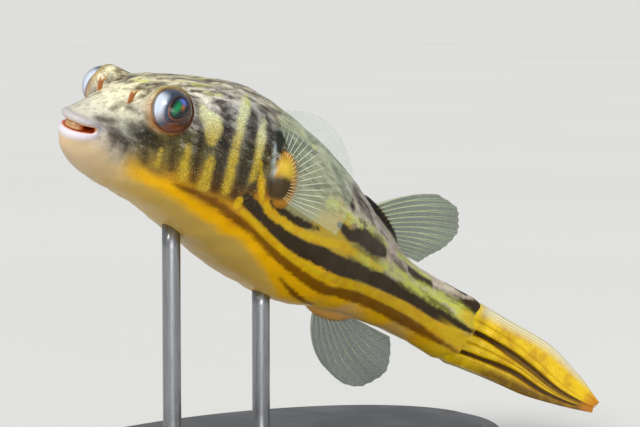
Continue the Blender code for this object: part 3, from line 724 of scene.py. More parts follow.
class Shade:
    """A small builder of shader nodes round one Principled surface, with a base colour laid on in coats."""

    def __init__(self, name: str) -> None:
        """Start a material of that name."""
        self.material = bpy.data.materials.new(name)
        self.material.use_nodes = True
        self.tree = self.material.node_tree
        self.surface = self.tree.nodes["Principled BSDF"]
        self.colour: object = None

    def node(self, kind: str, **settings: object) -> bpy.types.Node:
        """Add a node and set its properties."""
        made = self.tree.nodes.new(kind)
        for name, value in settings.items():
            setattr(made, name, value)
        return made

    def feed(self, socket: bpy.types.NodeSocket, value: object) -> None:
        """Link a wire to a socket, or set the socket's own value."""
        if isinstance(value, Wire):
            self.tree.links.new(value.socket, socket)
        elif isinstance(value, tuple) and len(value) == 3 and socket.type == "RGBA":
            socket.default_value = (*value, 1.0)
        else:
            socket.default_value = value

    def place(self, stretch: Tone | None = None, pitch: float = 0.0) -> Wire:
        """The point's place in the object, in metres, stretched along axes that are pitched in degrees."""
        place = Wire(self, self.node("ShaderNodeTexCoord").outputs["Object"])
        if stretch is None:
            return place
        mapped = self.node("ShaderNodeMapping", vector_type="TEXTURE")
        self.feed(mapped.inputs["Vector"], place)
        mapped.inputs["Rotation"].default_value = (0.0, math.radians(pitch), 0.0)
        mapped.inputs["Scale"].default_value = stretch
        return Wire(self, mapped.outputs["Vector"])

    def value(self, name: str, output: str = "Fac") -> Wire:
        """A point attribute, as a value or, from the output Color, as a colour."""
        return Wire(self, self.node("ShaderNodeAttribute", attribute_name=name).outputs[output])

    def noise(self, size: float, detail: float = 2.0, rough: float = 0.5, place: Wire | None = None) -> Wire:
        """Noise whose features are about `size` millimetres across."""
        made = self.node("ShaderNodeTexNoise")
        settings = {"Vector": place or self.place(), "Scale": 1.0 / (size * MM), "Detail": detail,
                    "Roughness": rough}
        for name, setting in settings.items():
            self.feed(made.inputs[name], setting)
        return Wire(self, made.outputs["Fac"])

    def cells(self, size: float) -> Wire:
        """Distance to the nearest of scattered points about `size` millimetres apart, from 0 to about 1."""
        made = self.node("ShaderNodeTexVoronoi")
        self.feed(made.inputs["Vector"], self.place())
        made.inputs["Scale"].default_value = 1.0 / (size * MM)
        return Wire(self, made.outputs["Distance"])

    def math(self, operation: str, *values: object) -> Wire:
        """One arithmetic step."""
        made = self.node("ShaderNodeMath", operation=operation)
        for socket, value in zip(made.inputs, values):
            self.feed(socket, value)
        return Wire(self, made.outputs[0])

    def mix(self, under: object, over: object, share: object, way: str = "MIX") -> Wire:
        """One colour over another by a share."""
        made = self.node("ShaderNodeMix", data_type="RGBA", blend_type=way)
        sockets = {socket.identifier: socket for socket in (*made.inputs, *made.outputs)}
        for name, setting in (("Factor_Float", share), ("A_Color", under), ("B_Color", over)):
            self.feed(sockets[name], setting)
        return Wire(self, sockets["Result_Color"])

    def lay(self, over: object, share: object, way: str = "MIX") -> None:
        """Lay a coat over the base colour by a share."""
        self.colour = self.mix(self.colour, over, share, way)

    def bump(self, height: Wire, depth: float, strength: float, under: Wire | None = None) -> Wire:
        """A bumped normal from a height whose full range is `depth` millimetres."""
        made = self.node("ShaderNodeBump")
        made.inputs["Strength"].default_value = strength
        made.inputs["Distance"].default_value = depth * MM
        self.feed(made.inputs["Height"], height)
        if under is not None:
            self.feed(made.inputs["Normal"], under)
        return Wire(self, made.outputs["Normal"])

    def finish(self, **sockets: object) -> bpy.types.Material:
        """Feed the surface's sockets, with spaces written as underscores, and hand back the material."""
        for name, value in {"Base_Color": self.colour, **sockets}.items():
            self.feed(self.surface.inputs[name.replace("_", " ")], value)
        return self.material


@dataclass(frozen=True)
class SkinFinish:
    """Wet, scaleless skin: soft ground tints under crisp stripes, with silvery flecks, pale green-yellow marks
    that are partly painted highlights, fine folds with painted shade in their troughs, and a painted fill
    light on the rear of the belly.
    """

    dark: Tone = linear(50, 35, 8)
    brown: Tone = linear(112, 66, 2)
    gold: Tone = linear(222, 188, 12)
    gold_deep: Tone = linear(214, 164, 4)
    # Pale green-yellow, partly a painted highlight.
    lime_and_highlights: Tone = linear(208, 214, 96)
    cream: Tone = linear(198, 164, 80)
    # A brighter cream for the rear of the belly, a painted fill light on a part that lies in shade.
    cream_rear_painted_fill: Tone = linear(240, 194, 84)
    chin: Tone = linear(196, 172, 136)
    orange: Tone = linear(246, 186, 4)
    glow: Tone = linear(206, 178, 50)
    glow_high: Tone = (0.84, 0.88, 0.5)
    fleck: Tone = linear(216, 214, 176)
    roughness: float = 0.36
    fold_length: float = 0.62
    streak_stretch: Tone = (4.2, 1.0, 1.0)

    def material(self) -> bpy.types.Material:
        """Build the skin's nodes, laying each marking over the ground where its value passes the edge.

        Crisp stripes have a narrow edge that noise makes uneven. Soft bars and blotches darken or brighten
        what is under them over a wide edge, broken up by the skin's grain. The head and back are streaked
        along the body.
        """
        shade = Shade("wet_skin")
        wobble = shade.noise(1.3, 4.0, 0.6) * 1.5 - 0.75
        fine, broad, grains = shade.noise(0.32, 3.0, 0.6), shade.noise(2.6, 4.0, 0.6), shade.cells(0.36)
        streaks = shade.noise(1.1, 4.0, 0.6, shade.place(self.streak_stretch, POSE.nose_up))
        along, mottle, fleck = shade.value("along"), shade.value("mottle"), shade.value("fleck")
        edge = {name: shade.value(name) + wobble for name in MARKS}

        shade.colour = shade.value("ground", "Color")
        shade.lay((0.24, 0.18, 0.16), streaks.step(0.5, 0.62, 0.0, 0.85) * mottle, "MULTIPLY")
        shade.lay((0.56, 0.54, 0.56), broad.step(0.48, 0.66, 0.0, 0.8) * mottle, "MULTIPLY")
        shade.lay((1.0, 0.98, 0.86), streaks.step(0.46, 0.34, 0.0, 0.35) * mottle)
        dusk = edge["dusk"].step(-1.1, 0.7) * streaks.step(0.3, 0.55, 0.76, 0.98)
        shade.lay((0.27, 0.24, 0.235), dusk, "MULTIPLY")
        glow = shade.mix(self.glow, self.glow_high, shade.value("high"))
        shade.lay(glow, edge["glow"].step(-0.9, 0.4) * grains.step(0.62, 0.3, 0.74, 0.94))
        brown = shade.mix(self.brown, self.dark, fine.step(0.5, 0.7, 0.0, 0.4))
        shade.lay(brown, edge["brown"].step(-0.55, 0.6, 0.0, 0.9))
        dark = shade.mix(self.dark, (0.05, 0.037, 0.024), fine.step(0.45, 0.75))
        shade.lay(dark, edge["dark"].step(-0.4, 0.5))
        gold = shade.mix(self.gold, self.gold_deep, broad.step(0.35, 0.65))
        shade.lay(gold, edge["gold"].step(-0.4, 0.45, 0.0, 0.95))
        # Pale green-yellow marks, partly painted highlights.
        shade.lay(self.lime_and_highlights, edge["lime_and_highlights"].step(-0.8, 0.6) * streaks.step(0.36, 0.6, 0.98, 0.3))

        belly = shade.noise(4.0, 4.0, 0.6) * 3.0 + (shade.value("cream") - 1.5)
        shade.lay(self.orange, belly.step(-3.0, -0.6, 0.0, 0.85) * along.step(9.0, 15.0))
        cream = shade.mix(self.chin, self.cream, along.step(3.0, 18.0))
        # Painted fill light: the belly's cream turns brighter towards its rear.
        shade.lay(shade.mix(cream, self.cream_rear_painted_fill, along.step(46.0, 70.0)), belly.step(-0.6, 2.4))
        shade.lay((0.36, 0.33, 0.3), fleck * grains.step(0.28, 0.62, 0.0, 0.36), "MULTIPLY")
        shade.lay(self.fleck, grains.step(0.3, 0.1) * fleck * shade.noise(1.1).step(0.42, 0.64, 0.06, 0.42))

        # The fine folds of the stalk: a bump, with painted shade darkening their troughs.
        waves = shade.math("SINE", shade.noise(2.0) * 3.2 + along * (2 * math.pi / self.fold_length))
        folds = waves * (shade.value("fold") * shade.noise(6.0).step(0.35, 0.6, 0.25, 1.0))
        shade.lay((0.45, 0.4, 0.32), folds.step(0.0, -1.0, 0.0, 0.5), "MULTIPLY")
        shade.lay(shade.value("paint", "Color"), shade.value("painted"))
        bumps = shade.bump(folds, 0.05, 0.5, shade.bump(grains, 0.08, 0.55, shade.bump(fine, 0.05, 0.6)))
        roughness = fine.step(0.3, 0.7, self.roughness - 0.06, self.roughness + 0.08)
        return shade.finish(Roughness=roughness, Normal=bumps, Coat_Weight=0.1, Coat_Roughness=0.14,
                            Specular_IOR_Level=0.15, Subsurface_Weight=0.06,
                            Subsurface_Radius=(0.0012, 0.0007, 0.0004), Subsurface_Scale=1.0)


@dataclass(frozen=True)
class FinFinish:
    """A thin clear membrane stiffened by pale rays, tinted where it leaves its base."""

    name: str
    membrane: Tone
    ray: Tone
    root: Tone
    clearness: float = 0.0

    def material(self) -> bpy.types.Material:
        """Build the nodes: rays and root nearly solid, and between them a membrane that passes light."""
        shade = Shade(self.name)
        ray, root, grain = shade.value("ray"), shade.value("root"), shade.noise(0.5, 3.0, 0.6)
        low = 1.0 - self.clearness
        shade.colour = shade.mix(self.membrane, self.ray, grain.step(0.5, 0.8, 0.0, 0.12))
        shade.lay(self.ray, ray.step(0.1, 0.75))
        shade.lay(self.root, root.step(0.05, 0.95, 0.0, 0.9))
        solid = grain.step(0.3, 0.7, low - 0.03, low + 0.03) + ray.step(0.1, 0.8) * (self.clearness * 0.6)
        return shade.finish(Alpha=shade.math("MINIMUM", solid + root.step(0.35, 1.0), 1.0),
                            Roughness=grain.step(0.3, 0.7, 0.22, 0.36), Coat_Weight=0.3, Coat_Roughness=0.12,
                            Normal=shade.bump(grain, 0.04, 0.5))


@dataclass(frozen=True)
class TailFinish:
    """The folded tail fin: bright yellow rays with painted brown shade in the valleys between them and painted
    darker shade towards the underside, pale along its upper edge.
    """

    yellow: Tone = linear(228, 194, 8)
    deep: Tone = linear(200, 156, 4)
    # Painted shade: a dull yellow-brown towards the underside, and orange-brown then dark brown deeper in the
    # valleys between the folds. The orange-brown also tints the ray lines.
    olive_underside_shade: Tone = linear(104, 76, 4)
    amber_lines_and_valley_shade: Tone = linear(138, 92, 4)
    valley: Tone = linear(50, 32, 4)
    pale: Tone = linear(214, 212, 184)
    tip: Tone = linear(186, 112, 24)

    def material(self) -> bpy.types.Material:
        """Build the nodes from the fold, line, edge, under and tip values carried by the surface; the fold and
        under values lay painted shade.
        """
        shade = Shade("folded_tail_fin")
        grain, broad, fold = shade.noise(0.45, 3.0, 0.6), shade.noise(3.0, 3.0, 0.6), shade.value("fold")
        shade.colour = shade.mix(self.yellow, self.deep, broad.step(0.4, 0.7))
        # Painted shade towards the underside of the fin.
        shade.lay(self.olive_underside_shade, shade.value("under") * broad.step(0.3, 0.6, 0.75, 1.0))
        shade.lay(self.pale, shade.value("edge") * 0.9)
        # Painted shade in the valleys between the folds, darkest where they are deepest; the line value tints
        # the ray lines.
        shade.lay(self.amber_lines_and_valley_shade, fold.step(0.08, 0.45, 0.0, 0.85))
        shade.lay(self.amber_lines_and_valley_shade, shade.value("line") * grain.step(0.2, 0.8, 0.3, 0.6))
        shade.lay(self.valley, (fold + (grain * 0.3 - 0.15)).step(0.25, 0.85, 0.0, 0.95))
        shade.lay(self.tip, shade.value("tip").step(0.2, 1.0, 0.0, 0.75))
        return shade.finish(Roughness=grain.step(0.3, 0.7, 0.32, 0.46), Normal=shade.bump(grain, 0.06, 0.5),
                            Coat_Weight=0.14, Coat_Roughness=0.15, Specular_IOR_Level=0.3,
                            Subsurface_Weight=0.06, Subsurface_Radius=(0.0012, 0.0008, 0.0003))


@dataclass(frozen=True)
class EyeFinish:
    """The painted eyeball under the clear front: pupil, iris, dark rim, painted blue-grey shade round the iris
    and a bluish white that is partly painted sheen.
    """

    pupil_place: tuple[float, float] = (0.85, 0.3)
    pupil_half: tuple[float, float] = (2.4, 1.78)
    pupil_lean: tuple[float, float] = (0.85, 0.53)
    pupil: Tone = linear(3, 16, 20)
    # Painted reflections: the green, purple-blue and orange glints in the pupil.
    green: Tone = linear(12, 150, 92)
    violet_glint: Tone = linear(98, 130, 232)
    ember_glint: Tone = linear(176, 104, 50)
    ring: Tone = linear(146, 82, 40)
    iris: Tone = linear(52, 17, 8)
    iris_bright: Tone = linear(92, 36, 12)
    # Painted shade: blue-grey round the iris and at the top of the eyeball.
    painted_slate_shade: Tone = linear(44, 60, 82)
    # A bluish white, partly a painted sheen.
    white: Tone = linear(210, 220, 238)
    lilac: Tone = linear(170, 158, 160)
    back: Tone = linear(52, 36, 30)

    def material(self) -> bpy.types.Material:
        """Build the nodes from the offsets up and snoutward of the gaze line, in millimetres.

        The pupil is an upright oval that leans tailward. The painted glints of reflected light in it, its
        ring, the iris, the painted blue-grey shade and the white follow from how far out in that oval a place
        is and on which side.
        """
        shade = Shade("painted_eyeball")
        fine, brush = shade.noise(0.3, 3.0, 0.6), shade.noise(0.9, 4.0, 0.65)
        lift, fore = shade.value("lift") - self.pupil_place[1], shade.value("fore") - self.pupil_place[0]
        cosine, sine = self.pupil_lean
        length, width = lift * cosine - fore * sine, fore * cosine + lift * sine
        round_pupil = (length * (1 / self.pupil_half[0])) ** 2.0 + (width * (1 / self.pupil_half[1])) ** 2.0
        oval = shade.math("SQRT", round_pupil) + (fine * 0.08 - 0.04)
        width = width + (fine * 0.5 - 0.25)

        # Painted reflections: orange, green and purple-blue glints in the dark pupil.
        shade.colour = shade.mix(self.pupil, self.ember_glint, width.band(-0.35, 0.75) * length.band(0.5, 1.2))
        shade.lay(self.green, width.band(0.5, 1.0) * length.band(-0.4, 2.3))
        shade.lay(self.violet_glint, width.band(0.0, 1.3) * length.band(1.5, 1.0))
        shade.lay(self.pupil, oval.step(0.72, 0.92))
        low = (lift - fore * 0.9).step(0.4, -2.0, 0.1, 0.9)
        shade.lay(shade.mix(self.iris, self.ring, low), oval.step(0.97, 1.02))
        iris = shade.mix(self.iris, self.iris_bright, fine.step(0.45, 0.7, 0.0, 0.5))
        iris = shade.mix(iris, self.ring, lift.step(-2.7, -3.6, 0.0, 0.75))
        # Painted shade: the iris turns blue-grey towards the top and the snout.
        iris = shade.mix(iris, self.painted_slate_shade, lift.step(0.6, 2.0, 0.0, 0.9))
        iris = shade.mix(iris, self.painted_slate_shade, fore.step(1.0, 2.0, 0.0, 0.95))
        shade.lay(iris, oval.step(1.03, 1.09))
        shade.lay(self.ring, oval.band(1.36, 0.07) * (lift.step(-0.6, -1.8, 0.0, 0.8) * fine.step(0.35, 0.6)))
        # The white: the eyeball's pale front with a painted bluish sheen, and painted blue-grey shade at its
        # top and towards the iris.
        white = shade.mix(self.white, self.lilac, lift.step(-0.6, -2.8))
        white = shade.mix(white, self.painted_slate_shade, lift.step(2.2, 3.6, 0.0, 0.7))
        white = shade.mix(white, self.painted_slate_shade, brush.step(0.4, 0.7) * fore.step(2.7, 1.3, 0.0, 0.6))
        white = shade.mix(white, self.back, shade.value("behind").step(84.0, 92.0, 0.0, 0.8))
        edge = fore + lift * 0.12 + (brush * 0.8 - 0.4)
        shade.lay(white, edge.step(1.3, 2.8) * oval.step(1.15, 1.5))
        return shade.finish(Roughness=0.3, Coat_Weight=0.7, Coat_Roughness=0.05, Specular_IOR_Level=0.2)


@dataclass(frozen=True)
class CorneaFinish:
    """The glassy front of the eye: clear in the middle and milky blue towards the white."""

    clear: Tone = (0.01, 0.015, 0.02)
    haze: Tone = linear(120, 134, 152)

    def material(self) -> bpy.types.Material:
        """Build the nodes: the surface grows less clear with the angle off the gaze."""
        shade = Shade("clear_cornea")
        behind = shade.value("behind")
        shade.colour = shade.mix(self.clear, self.haze, behind.step(40.0, 76.0))
        return shade.finish(Alpha=behind.step(40.0, 80.0, 0.05, 0.08), Roughness=0.1, IOR=1.5,
                            Coat_Weight=0.5, Coat_Roughness=0.1)


@dataclass(frozen=True)
class BeakFinish:
    """Tan tooth plates, darker and more orange towards the gum."""

    tooth: Tone = linear(172, 134, 88)
    gum: Tone = linear(176, 84, 40)

    def material(self) -> bpy.types.Material:
        """Build the nodes from the depth into the mouth and fine growth lines."""
        shade = Shade("tooth_plate")
        grain = shade.noise(0.4, 4.0, 0.6)
        shade.colour = shade.mix(self.tooth, self.gum, shade.value("depth").step(0.2, 0.55))
        shade.lay(self.gum, grain.step(0.5, 0.8, 0.0, 0.4))
        return shade.finish(Roughness=0.28, Normal=shade.bump(grain, 0.05, 0.4), Coat_Weight=0.3)


@dataclass(frozen=True)
class TentacleFinish:
    """Orange-brown flesh, paler at the tips."""

    flesh: Tone = linear(176, 106, 50)
    tip: Tone = linear(220, 182, 126)

    def material(self) -> bpy.types.Material:
        """Build the nodes from the height up the tentacle."""
        shade = Shade("nasal_flesh")
        grain = shade.noise(0.3, 3.0, 0.6)
        shade.colour = shade.mix(self.flesh, self.tip, shade.value("reach").step(0.5, 1.0))
        shade.lay((0.2, 0.08, 0.02), grain.step(0.5, 0.75, 0.0, 0.4))
        return shade.finish(Roughness=0.4, Normal=shade.bump(grain, 0.04, 0.5), Coat_Weight=0.2)


@dataclass(frozen=True)
class StandFinish:
    """Satin black lacquer with a faint orange-peel and soft wear in broad patches."""

    lacquer: Tone = linear(30, 31, 34)
    worn: Tone = linear(62, 62, 64)

    def material(self) -> bpy.types.Material:
        """Build the nodes from noise at two scales."""
        shade = Shade("black_lacquer")
        broad = shade.noise(14.0, 4.0, 0.6)
        shade.colour = shade.mix(self.lacquer, self.worn, broad.step(0.45, 0.8, 0.0, 0.4))
        return shade.finish(Roughness=broad.step(0.3, 0.7, 0.3, 0.42), Coat_Weight=0.2, Coat_Roughness=0.2,
                            Normal=shade.bump(shade.noise(0.8), 0.03, 0.35))


@dataclass(frozen=True)
class RodFinish:
    """Brushed steel, drawn along the rod."""

    steel: Tone = linear(150, 152, 156)
    shadow: Tone = (0.16, 0.16, 0.17)
    stretch: Tone = (1.0, 1.0, 1 / 0.06)

    def material(self) -> bpy.types.Material:
        """Build the nodes from noise stretched along the rod."""
        shade = Shade("brushed_steel")
        grain = shade.noise(0.35, 3.0, 0.6, shade.place(self.stretch))
        shade.colour = shade.mix(self.steel, self.shadow, grain.step(0.4, 0.8, 0.0, 0.6))
        return shade.finish(Metallic=0.95, Roughness=grain.step(0.3, 0.7, 0.24, 0.38),
                            Normal=shade.bump(grain, 0.02, 0.4))


@dataclass(frozen=True)
class FloorFinish:
    """A plain pale studio floor."""

    pale: Tone = linear(226, 226, 224)
    worn: Tone = (0.7, 0.7, 0.69)

    def material(self) -> bpy.types.Material:
        """Build the nodes: one pale tone with a barely visible unevenness."""
        shade = Shade("studio_floor")
        shade.colour = shade.mix(self.pale, self.worn, shade.noise(300.0).step(0.3, 0.7, 0.0, 0.3))
        return shade.finish(Roughness=0.75)


# ---- the fish's pieces -------------------------------------------------------------------------------------


class Paint:
    """A coat of display colours laid over one another at the skin's points, and how far it covers each."""

    def __init__(self, count: int) -> None:
        """Start with a bare coat over that many points."""
        self.colour = np.zeros((count, 3))
        self.cover = np.zeros(count)

    def lay(self, amount: Array, *tone: int) -> None:
        """Blend one tone over what is there."""
        amount = np.clip(np.ravel(amount), 0.0, 1.0)
        total = amount + self.cover * (1 - amount)
        mixed = amount[:, None] * np.array(linear(*tone)) + ((1 - amount) * self.cover)[:, None] * self.colour
        self.colour = np.where(total[:, None] > 1e-6, mixed / np.maximum(total, 1e-6)[:, None], self.colour)
        self.cover = total


@dataclass
class Skin:
    """One closed skin from the throat over the lips, head and trunk to the root of the tail fin."""

    columns: int = 288
    throat_rows: int = 8
    lip_rows: int = 22
    join_rows: int = 14
    snout_rows: int = 46
    head_rows: int = 100
    trunk_rows: int = 96
    tail_rows: int = 44
    snout_end: float = 12.0
    neck: float = 38.0
    tail_start: float = 90.0
    tail_end: float = 118.0
    closing_start: float = 113.0
    closing_run: float = 3.4
    closing: float = 0.12
    corner_start: float = 6.7

    mouth_front: float = 1.5
    mouth_depth: float = 3.6
    mouth_half_width: float = 4.3
    lip_corner: float = 0.45
    upper_lip: tuple[float, float] = (1.45, 0.95)
    lower_lip: tuple[float, float] = (-1.8, 0.9)
    lip_lead: tuple[float, float] = (0.35, -0.1)
    slit_turn: float = -118.0
    over_turn: float = 62.0
    throat: tuple[float, float, float] = (6.4, 0.0, -0.6)

    orbit_radii: tuple[float, float, float] = (5.0, 3.5, 4.6)
    orbit_inward: float = 1.1
    orbit_tailward: float = 0.4
    lid_radius: float = 4.28
    lid_thickness: float = 0.38
    lid_out: float = 0.4
    orbit_top: float = 0.95

    ray_start: float = 7.0
    ray_steps: int = 36
    ray_stride: float = 0.9
    body_slope: float = 0.85
    orbit_blend: float = 1.8
    lid_blend: float = 0.35
    join_turn: float = 35.0
    join_run: float = 1.2
    first_station: float = 0.05

    # The middle of the painted shade of the gill opening: station and angle.
    slot: tuple[float, float] = (39.2, 157.0)
    gill_lip: tuple[float, float, float] = (0.4, 0.95, 0.7)
    gill_groove: tuple[float, float] = (0.95, 0.42)
    unevenness: tuple[tuple[float, float, int], ...] = ((0.1, 5.5, 3), (0.045, 2.2, 4))
    fold_depth: float = 0.16

    def lips(self, angle: Array, turn: Array) -> Array:
        """Points of the lips: a round bead carried along the bow of the mouth and back.

        The bead's middle follows half an ellipse seen from above. Its section turns from the slit side, at
        -90 degrees, over the front, at 0, to the side away from the slit, at 90.

        Args:
            angle: place round the mouth, in radians, as round the body.
            turn: place round the bead's own section, in radians.

        Returns:
            Points in the fish's frame.
        """
        side, rise = np.cos(angle), np.sin(angle)
        level = 0 * side
        opened = np.sqrt(rise**2 + 0.01) / math.sqrt(1.01)
        upper = 0.5 + 0.5 * np.tanh(rise / 0.12)
        lower = 1 - upper
        shape = self.lip_corner + (1 - self.lip_corner) * opened**0.7
        height = (self.upper_lip[0] * upper + self.lower_lip[0] * lower) * shape
        bead = (self.upper_lip[1] * upper + self.lower_lip[1] * lower) * shape
        lead = (self.lip_lead[0] * upper + self.lip_lead[1] * lower) * opened
        along = self.mouth_front + lead + self.mouth_depth * (1 - opened)
        forward = unit(np.stack([-opened / self.mouth_depth, side / self.mouth_half_width, level], -1))
        corner = unit(np.stack([self.mouth_depth * np.abs(side),
                                self.mouth_half_width * opened * np.sign(side), level], -1))
        away = unit(corner * (0.2 * np.abs(side))[..., None] + np.stack([level, level, rise], -1))
        centre = np.stack([along, self.mouth_half_width * side, height], -1)
        way = np.cos(turn)[..., None] * forward + np.sin(turn)[..., None] * away
        local = centre + bead[..., None] * way
        return BODY.inside(local[..., 0], local[..., 1], local[..., 2])

    def start_station(self, angle: Array) -> Array:
        """Where the plain body surface takes over from the lips: far back at the mouth's corners."""
        middle = np.where(np.sin(angle) > 0, 2.7, 0.8)
        return self.corner_start + (middle - self.corner_start) * np.abs(np.sin(angle)) ** 1.2

    def orbit(self, sign: int) -> Swelling:
        """The mound that carries an eye."""
        across = sign * (EYES.across(sign) - self.orbit_inward)
        return Swelling(EYES.at + self.orbit_tailward, across, EYES.up, self.orbit_radii)

    def lid_distance(self, points: Array, sign: int) -> Array:
        """Distance outside the ring of skin that hugs an eyeball."""
        offset = points - EYES.centre(sign)
        out = offset @ EYES.opening(sign)
        ring = np.sqrt(np.maximum((offset**2).sum(-1) - out**2, 0.0)) - self.lid_radius
        return np.hypot(ring, out - self.lid_out) - self.lid_thickness

    def raised(self, along: Array, angle: Array) -> Array:
        """The body surface with its swellings: the outermost crossing of each ray from the spine.

        Each point starts outside and steps inward by its distance to the rounded union of all the forms. The
        plain body's distance is the way left along the ray, shortened because the ray meets it at a slope.
        """
        plain = BODY.surface(along, angle)
        root = BODY.spine(np.broadcast_to(along, plain.shape[:-1]))
        reach = np.linalg.norm(plain - root, axis=-1)
        way = (plain - root) / np.maximum(reach, 1e-6)[..., None]
        far = reach + self.ray_start
        for _ in range(self.ray_steps):
            here = root + way * far[..., None]
            gap = (far - reach) * self.body_slope
            for swelling in (*PECTORAL_BASES.values(), DORSAL_BASE, ANAL_BASE):
                gap = smooth_union(gap, swelling.distance(here), swelling.blend)
            for sign in SIGNS.values():
                flat = (here - EYES.centre(sign)) @ EYES.opening(sign) - self.orbit_top
                gap = smooth_union(gap, np.maximum(self.orbit(sign).distance(here), flat), self.orbit_blend)
                gap = smooth_union(gap, self.lid_distance(here, sign), self.lid_blend)
            far = far - gap * self.ray_stride
        return root + way * far[..., None]

    def grid(self, angle: Array) -> tuple[Array, Array]:
        """The whole skin before its fine relief.

        Args:
            angle: the columns' angles round the body.

        Returns:
            The rings of points, and the station of each.
        """
        slit, over = math.radians(self.slit_turn), math.radians(self.over_turn)
        turn = np.linspace(0.0, 1.0, self.lip_rows)[:, None]
        bead = self.lips(angle + 0 * turn, slit + (over - slit) * turn + 0 * angle)
        inward = np.linspace(0.0, 1.0, self.throat_rows, endpoint=False)[1:][::-1, None, None]
        mouth = bead[:1] * (1 - inward) + BODY.inside(*self.throat) * inward
        share = np.linspace(0.0, 1.0, self.join_rows + 1)[1:, None]
        start = self.start_station(angle)[None, :]
        onward = self.lips(angle + 0 * share, over + math.radians(self.join_turn) * share + 0 * angle)
        back = np.maximum(start - self.join_run * (1 - share), self.first_station)
        join = onward + (BODY.surface(back, angle + 0 * share) - onward) * smoothstep(0, 1, share)[..., None]

        along = [start + (self.snout_end - start) * np.linspace(0.0, 1.0, self.snout_rows + 1)[1:, None]]
        ends = (self.snout_end, self.neck, self.tail_start, BODY.length)
        for low, high, rows in zip(ends, ends[1:], (self.head_rows, self.trunk_rows, self.tail_rows)):
            along.append(np.linspace(low, high, rows + 1)[1:, None] + 0 * angle)
        along = np.concatenate(along)
        body = self.raised(along, angle + 0 * along)
        fingers = smooth_through([90, 118, 146, 168, 186, 206, 232, 270],
                                 [-0.2, 0.9, -1.3, 1.1, -1.7, 0.6, -1.4, -0.6], on_left(angle))
        shut = self.closing * smoothstep(0.0, 1.0, (along - self.closing_start - fingers) / self.closing_run)
        body = body + (BODY.spine(along) - body) * shut[..., None]

        fronts = len(mouth) + len(bead)
        station = np.concatenate([np.broadcast_to(back[:1], (fronts, self.columns)), back, along])
        upper = smoothstep(-0.2, 0.2, np.sin(angle))
        first = len(mouth) + len(bead) * (0.42 + 0.3 * upper)
        rings = np.concatenate([mouth, bead, join, body])
        return self.softened(rings, first, fronts + len(join) + 16, 0.9 - 0.5 * upper), station

    def softened(self, rings: Array, first: Array, last: float, strength: Array, rounds: int = 60) -> Array:
        """Even out the rows between two places by repeated averaging with their neighbours.

        Args:
            rings: the rings of points.
            first: the row, in every column, about which the evening starts.
            last: the row at which it ends.
            strength: how far each round goes in every column, up to 1.
            rounds: how often it is done.

        Returns:
            The evened rings.
        """
        rows = np.arange(len(rings))[:, None]
        share = smoothstep(0.0, 1.0, (rows - first + 3) / 9) * (1 - smoothstep(last - 12, last, rows))
        share = share * strength
        for _ in range(rounds):
            around = (np.roll(rings, 1, 1) + np.roll(rings, -1, 1)) / 4
            ahead = np.concatenate([rings[:1], rings[:-1]]) / 4 + np.concatenate([rings[1:], rings[-1:]]) / 4
            rings = rings + (around + ahead - rings) * share[..., None]
        return rings

    def gill_line(self, left: Array) -> Array:
        """The station of the gill slit's bottom at each angle down the left flank, in degrees."""
        return smooth_through([150.0, 160.0, 178.0, 198.0, 206.0], [37.0, 37.1, 38.0, 40.4, 41.8], left)

    def relief(self, rings: Array, station: Array, left: Array) -> Array:
        """Add the gill slits, the folds of the face and the skin's soft unevenness along the normals."""
        gill = self.gill_line(left) - station
        (lip, ahead, lip_reach), (groove, groove_reach) = self.gill_lip, self.gill_groove
        lift = lip * bell(gill, ahead, lip_reach) - groove * bell(gill, 0.0, groove_reach)
        lift = lift * window((152, 160), (196, 205), left)
        soft = window((3.0, 9.0), (104.0, 112.0), station)
        lift = lift + soft * sum(height * ripples(rings, size, seed) for height, size, seed in self.unevenness)
        for fold in FACE_FOLDS:
            inside = fold.inside(rings.reshape(-1, 3)).reshape(lift.shape)
            lift = lift - self.fold_depth * smoothstep(-0.8, 0.1, inside)
        return rings + grid_normals(rings) * lift[..., None]

    def layers(self, rings: Array, station: Array, angle: Array) -> dict[str, Array]:
        """Values of the markings at every point, each mark's as the depth inside its edge in millimetres."""
        points, shape = rings.reshape(-1, 3), station.shape
        found = {}
        for name, marks in MARKS.items():
            inside = np.maximum.reduce([mark.inside(points) for mark in marks]).clip(-3.0, 3.0)
            found[name] = inside.reshape(shape)
        left = on_left(angle)
        left = np.where(left < 90.0, 180.0 - left, left)
        edge = smooth_through(*zip(*BELLY_EDGE), station)
        depth = np.radians(left - edge) * np.hypot(*BODY.section(station, angle))
        found["cream"] = np.where(station > 80.0, -6.0, depth).clip(-6.0, 6.0)
        found["along"] = station
        # Where the fine folds lie, whose troughs get painted shade.
        found["fold"] = window((110.0, 135.0), (214.0, 232.0), left)
        found["fold"] = found["fold"] * window((58.0, 72.0), (100.0, 108.0), station)
        cheek = 0.5 * smoothstep(4.0, 8.0, station) + 0.5 * smoothstep(12.0, 18.0, station)
        cheek = cheek * (1 - smoothstep(37.0, 42.0, station))
        found["fleck"] = cheek * window((128.0, 146.0), (205.0, 216.0), left)
        found["high"] = 1 - smoothstep(152.0, 186.0, left)
        top = 1 - smoothstep(172.0, 192.0, left) * smoothstep(10.0, 14.0, station)
        head = 0.4 * smoothstep(1.5, 4.0, station) + 0.6 * smoothstep(9.0, 15.0, station)
        found["mottle"] = (top * head * (1 - smoothstep(190.0, 202.0, left))
                           * (1 - 0.5 * smoothstep(74.0, 84.0, station)))
        found["ground"] = self.ground(points).reshape(*shape, 3)
        paint = self.paint(rings, station, on_left(angle), angle)
        return {**found, "paint": paint.colour.reshape(*shape, 3), "painted": paint.cover.reshape(shape)}

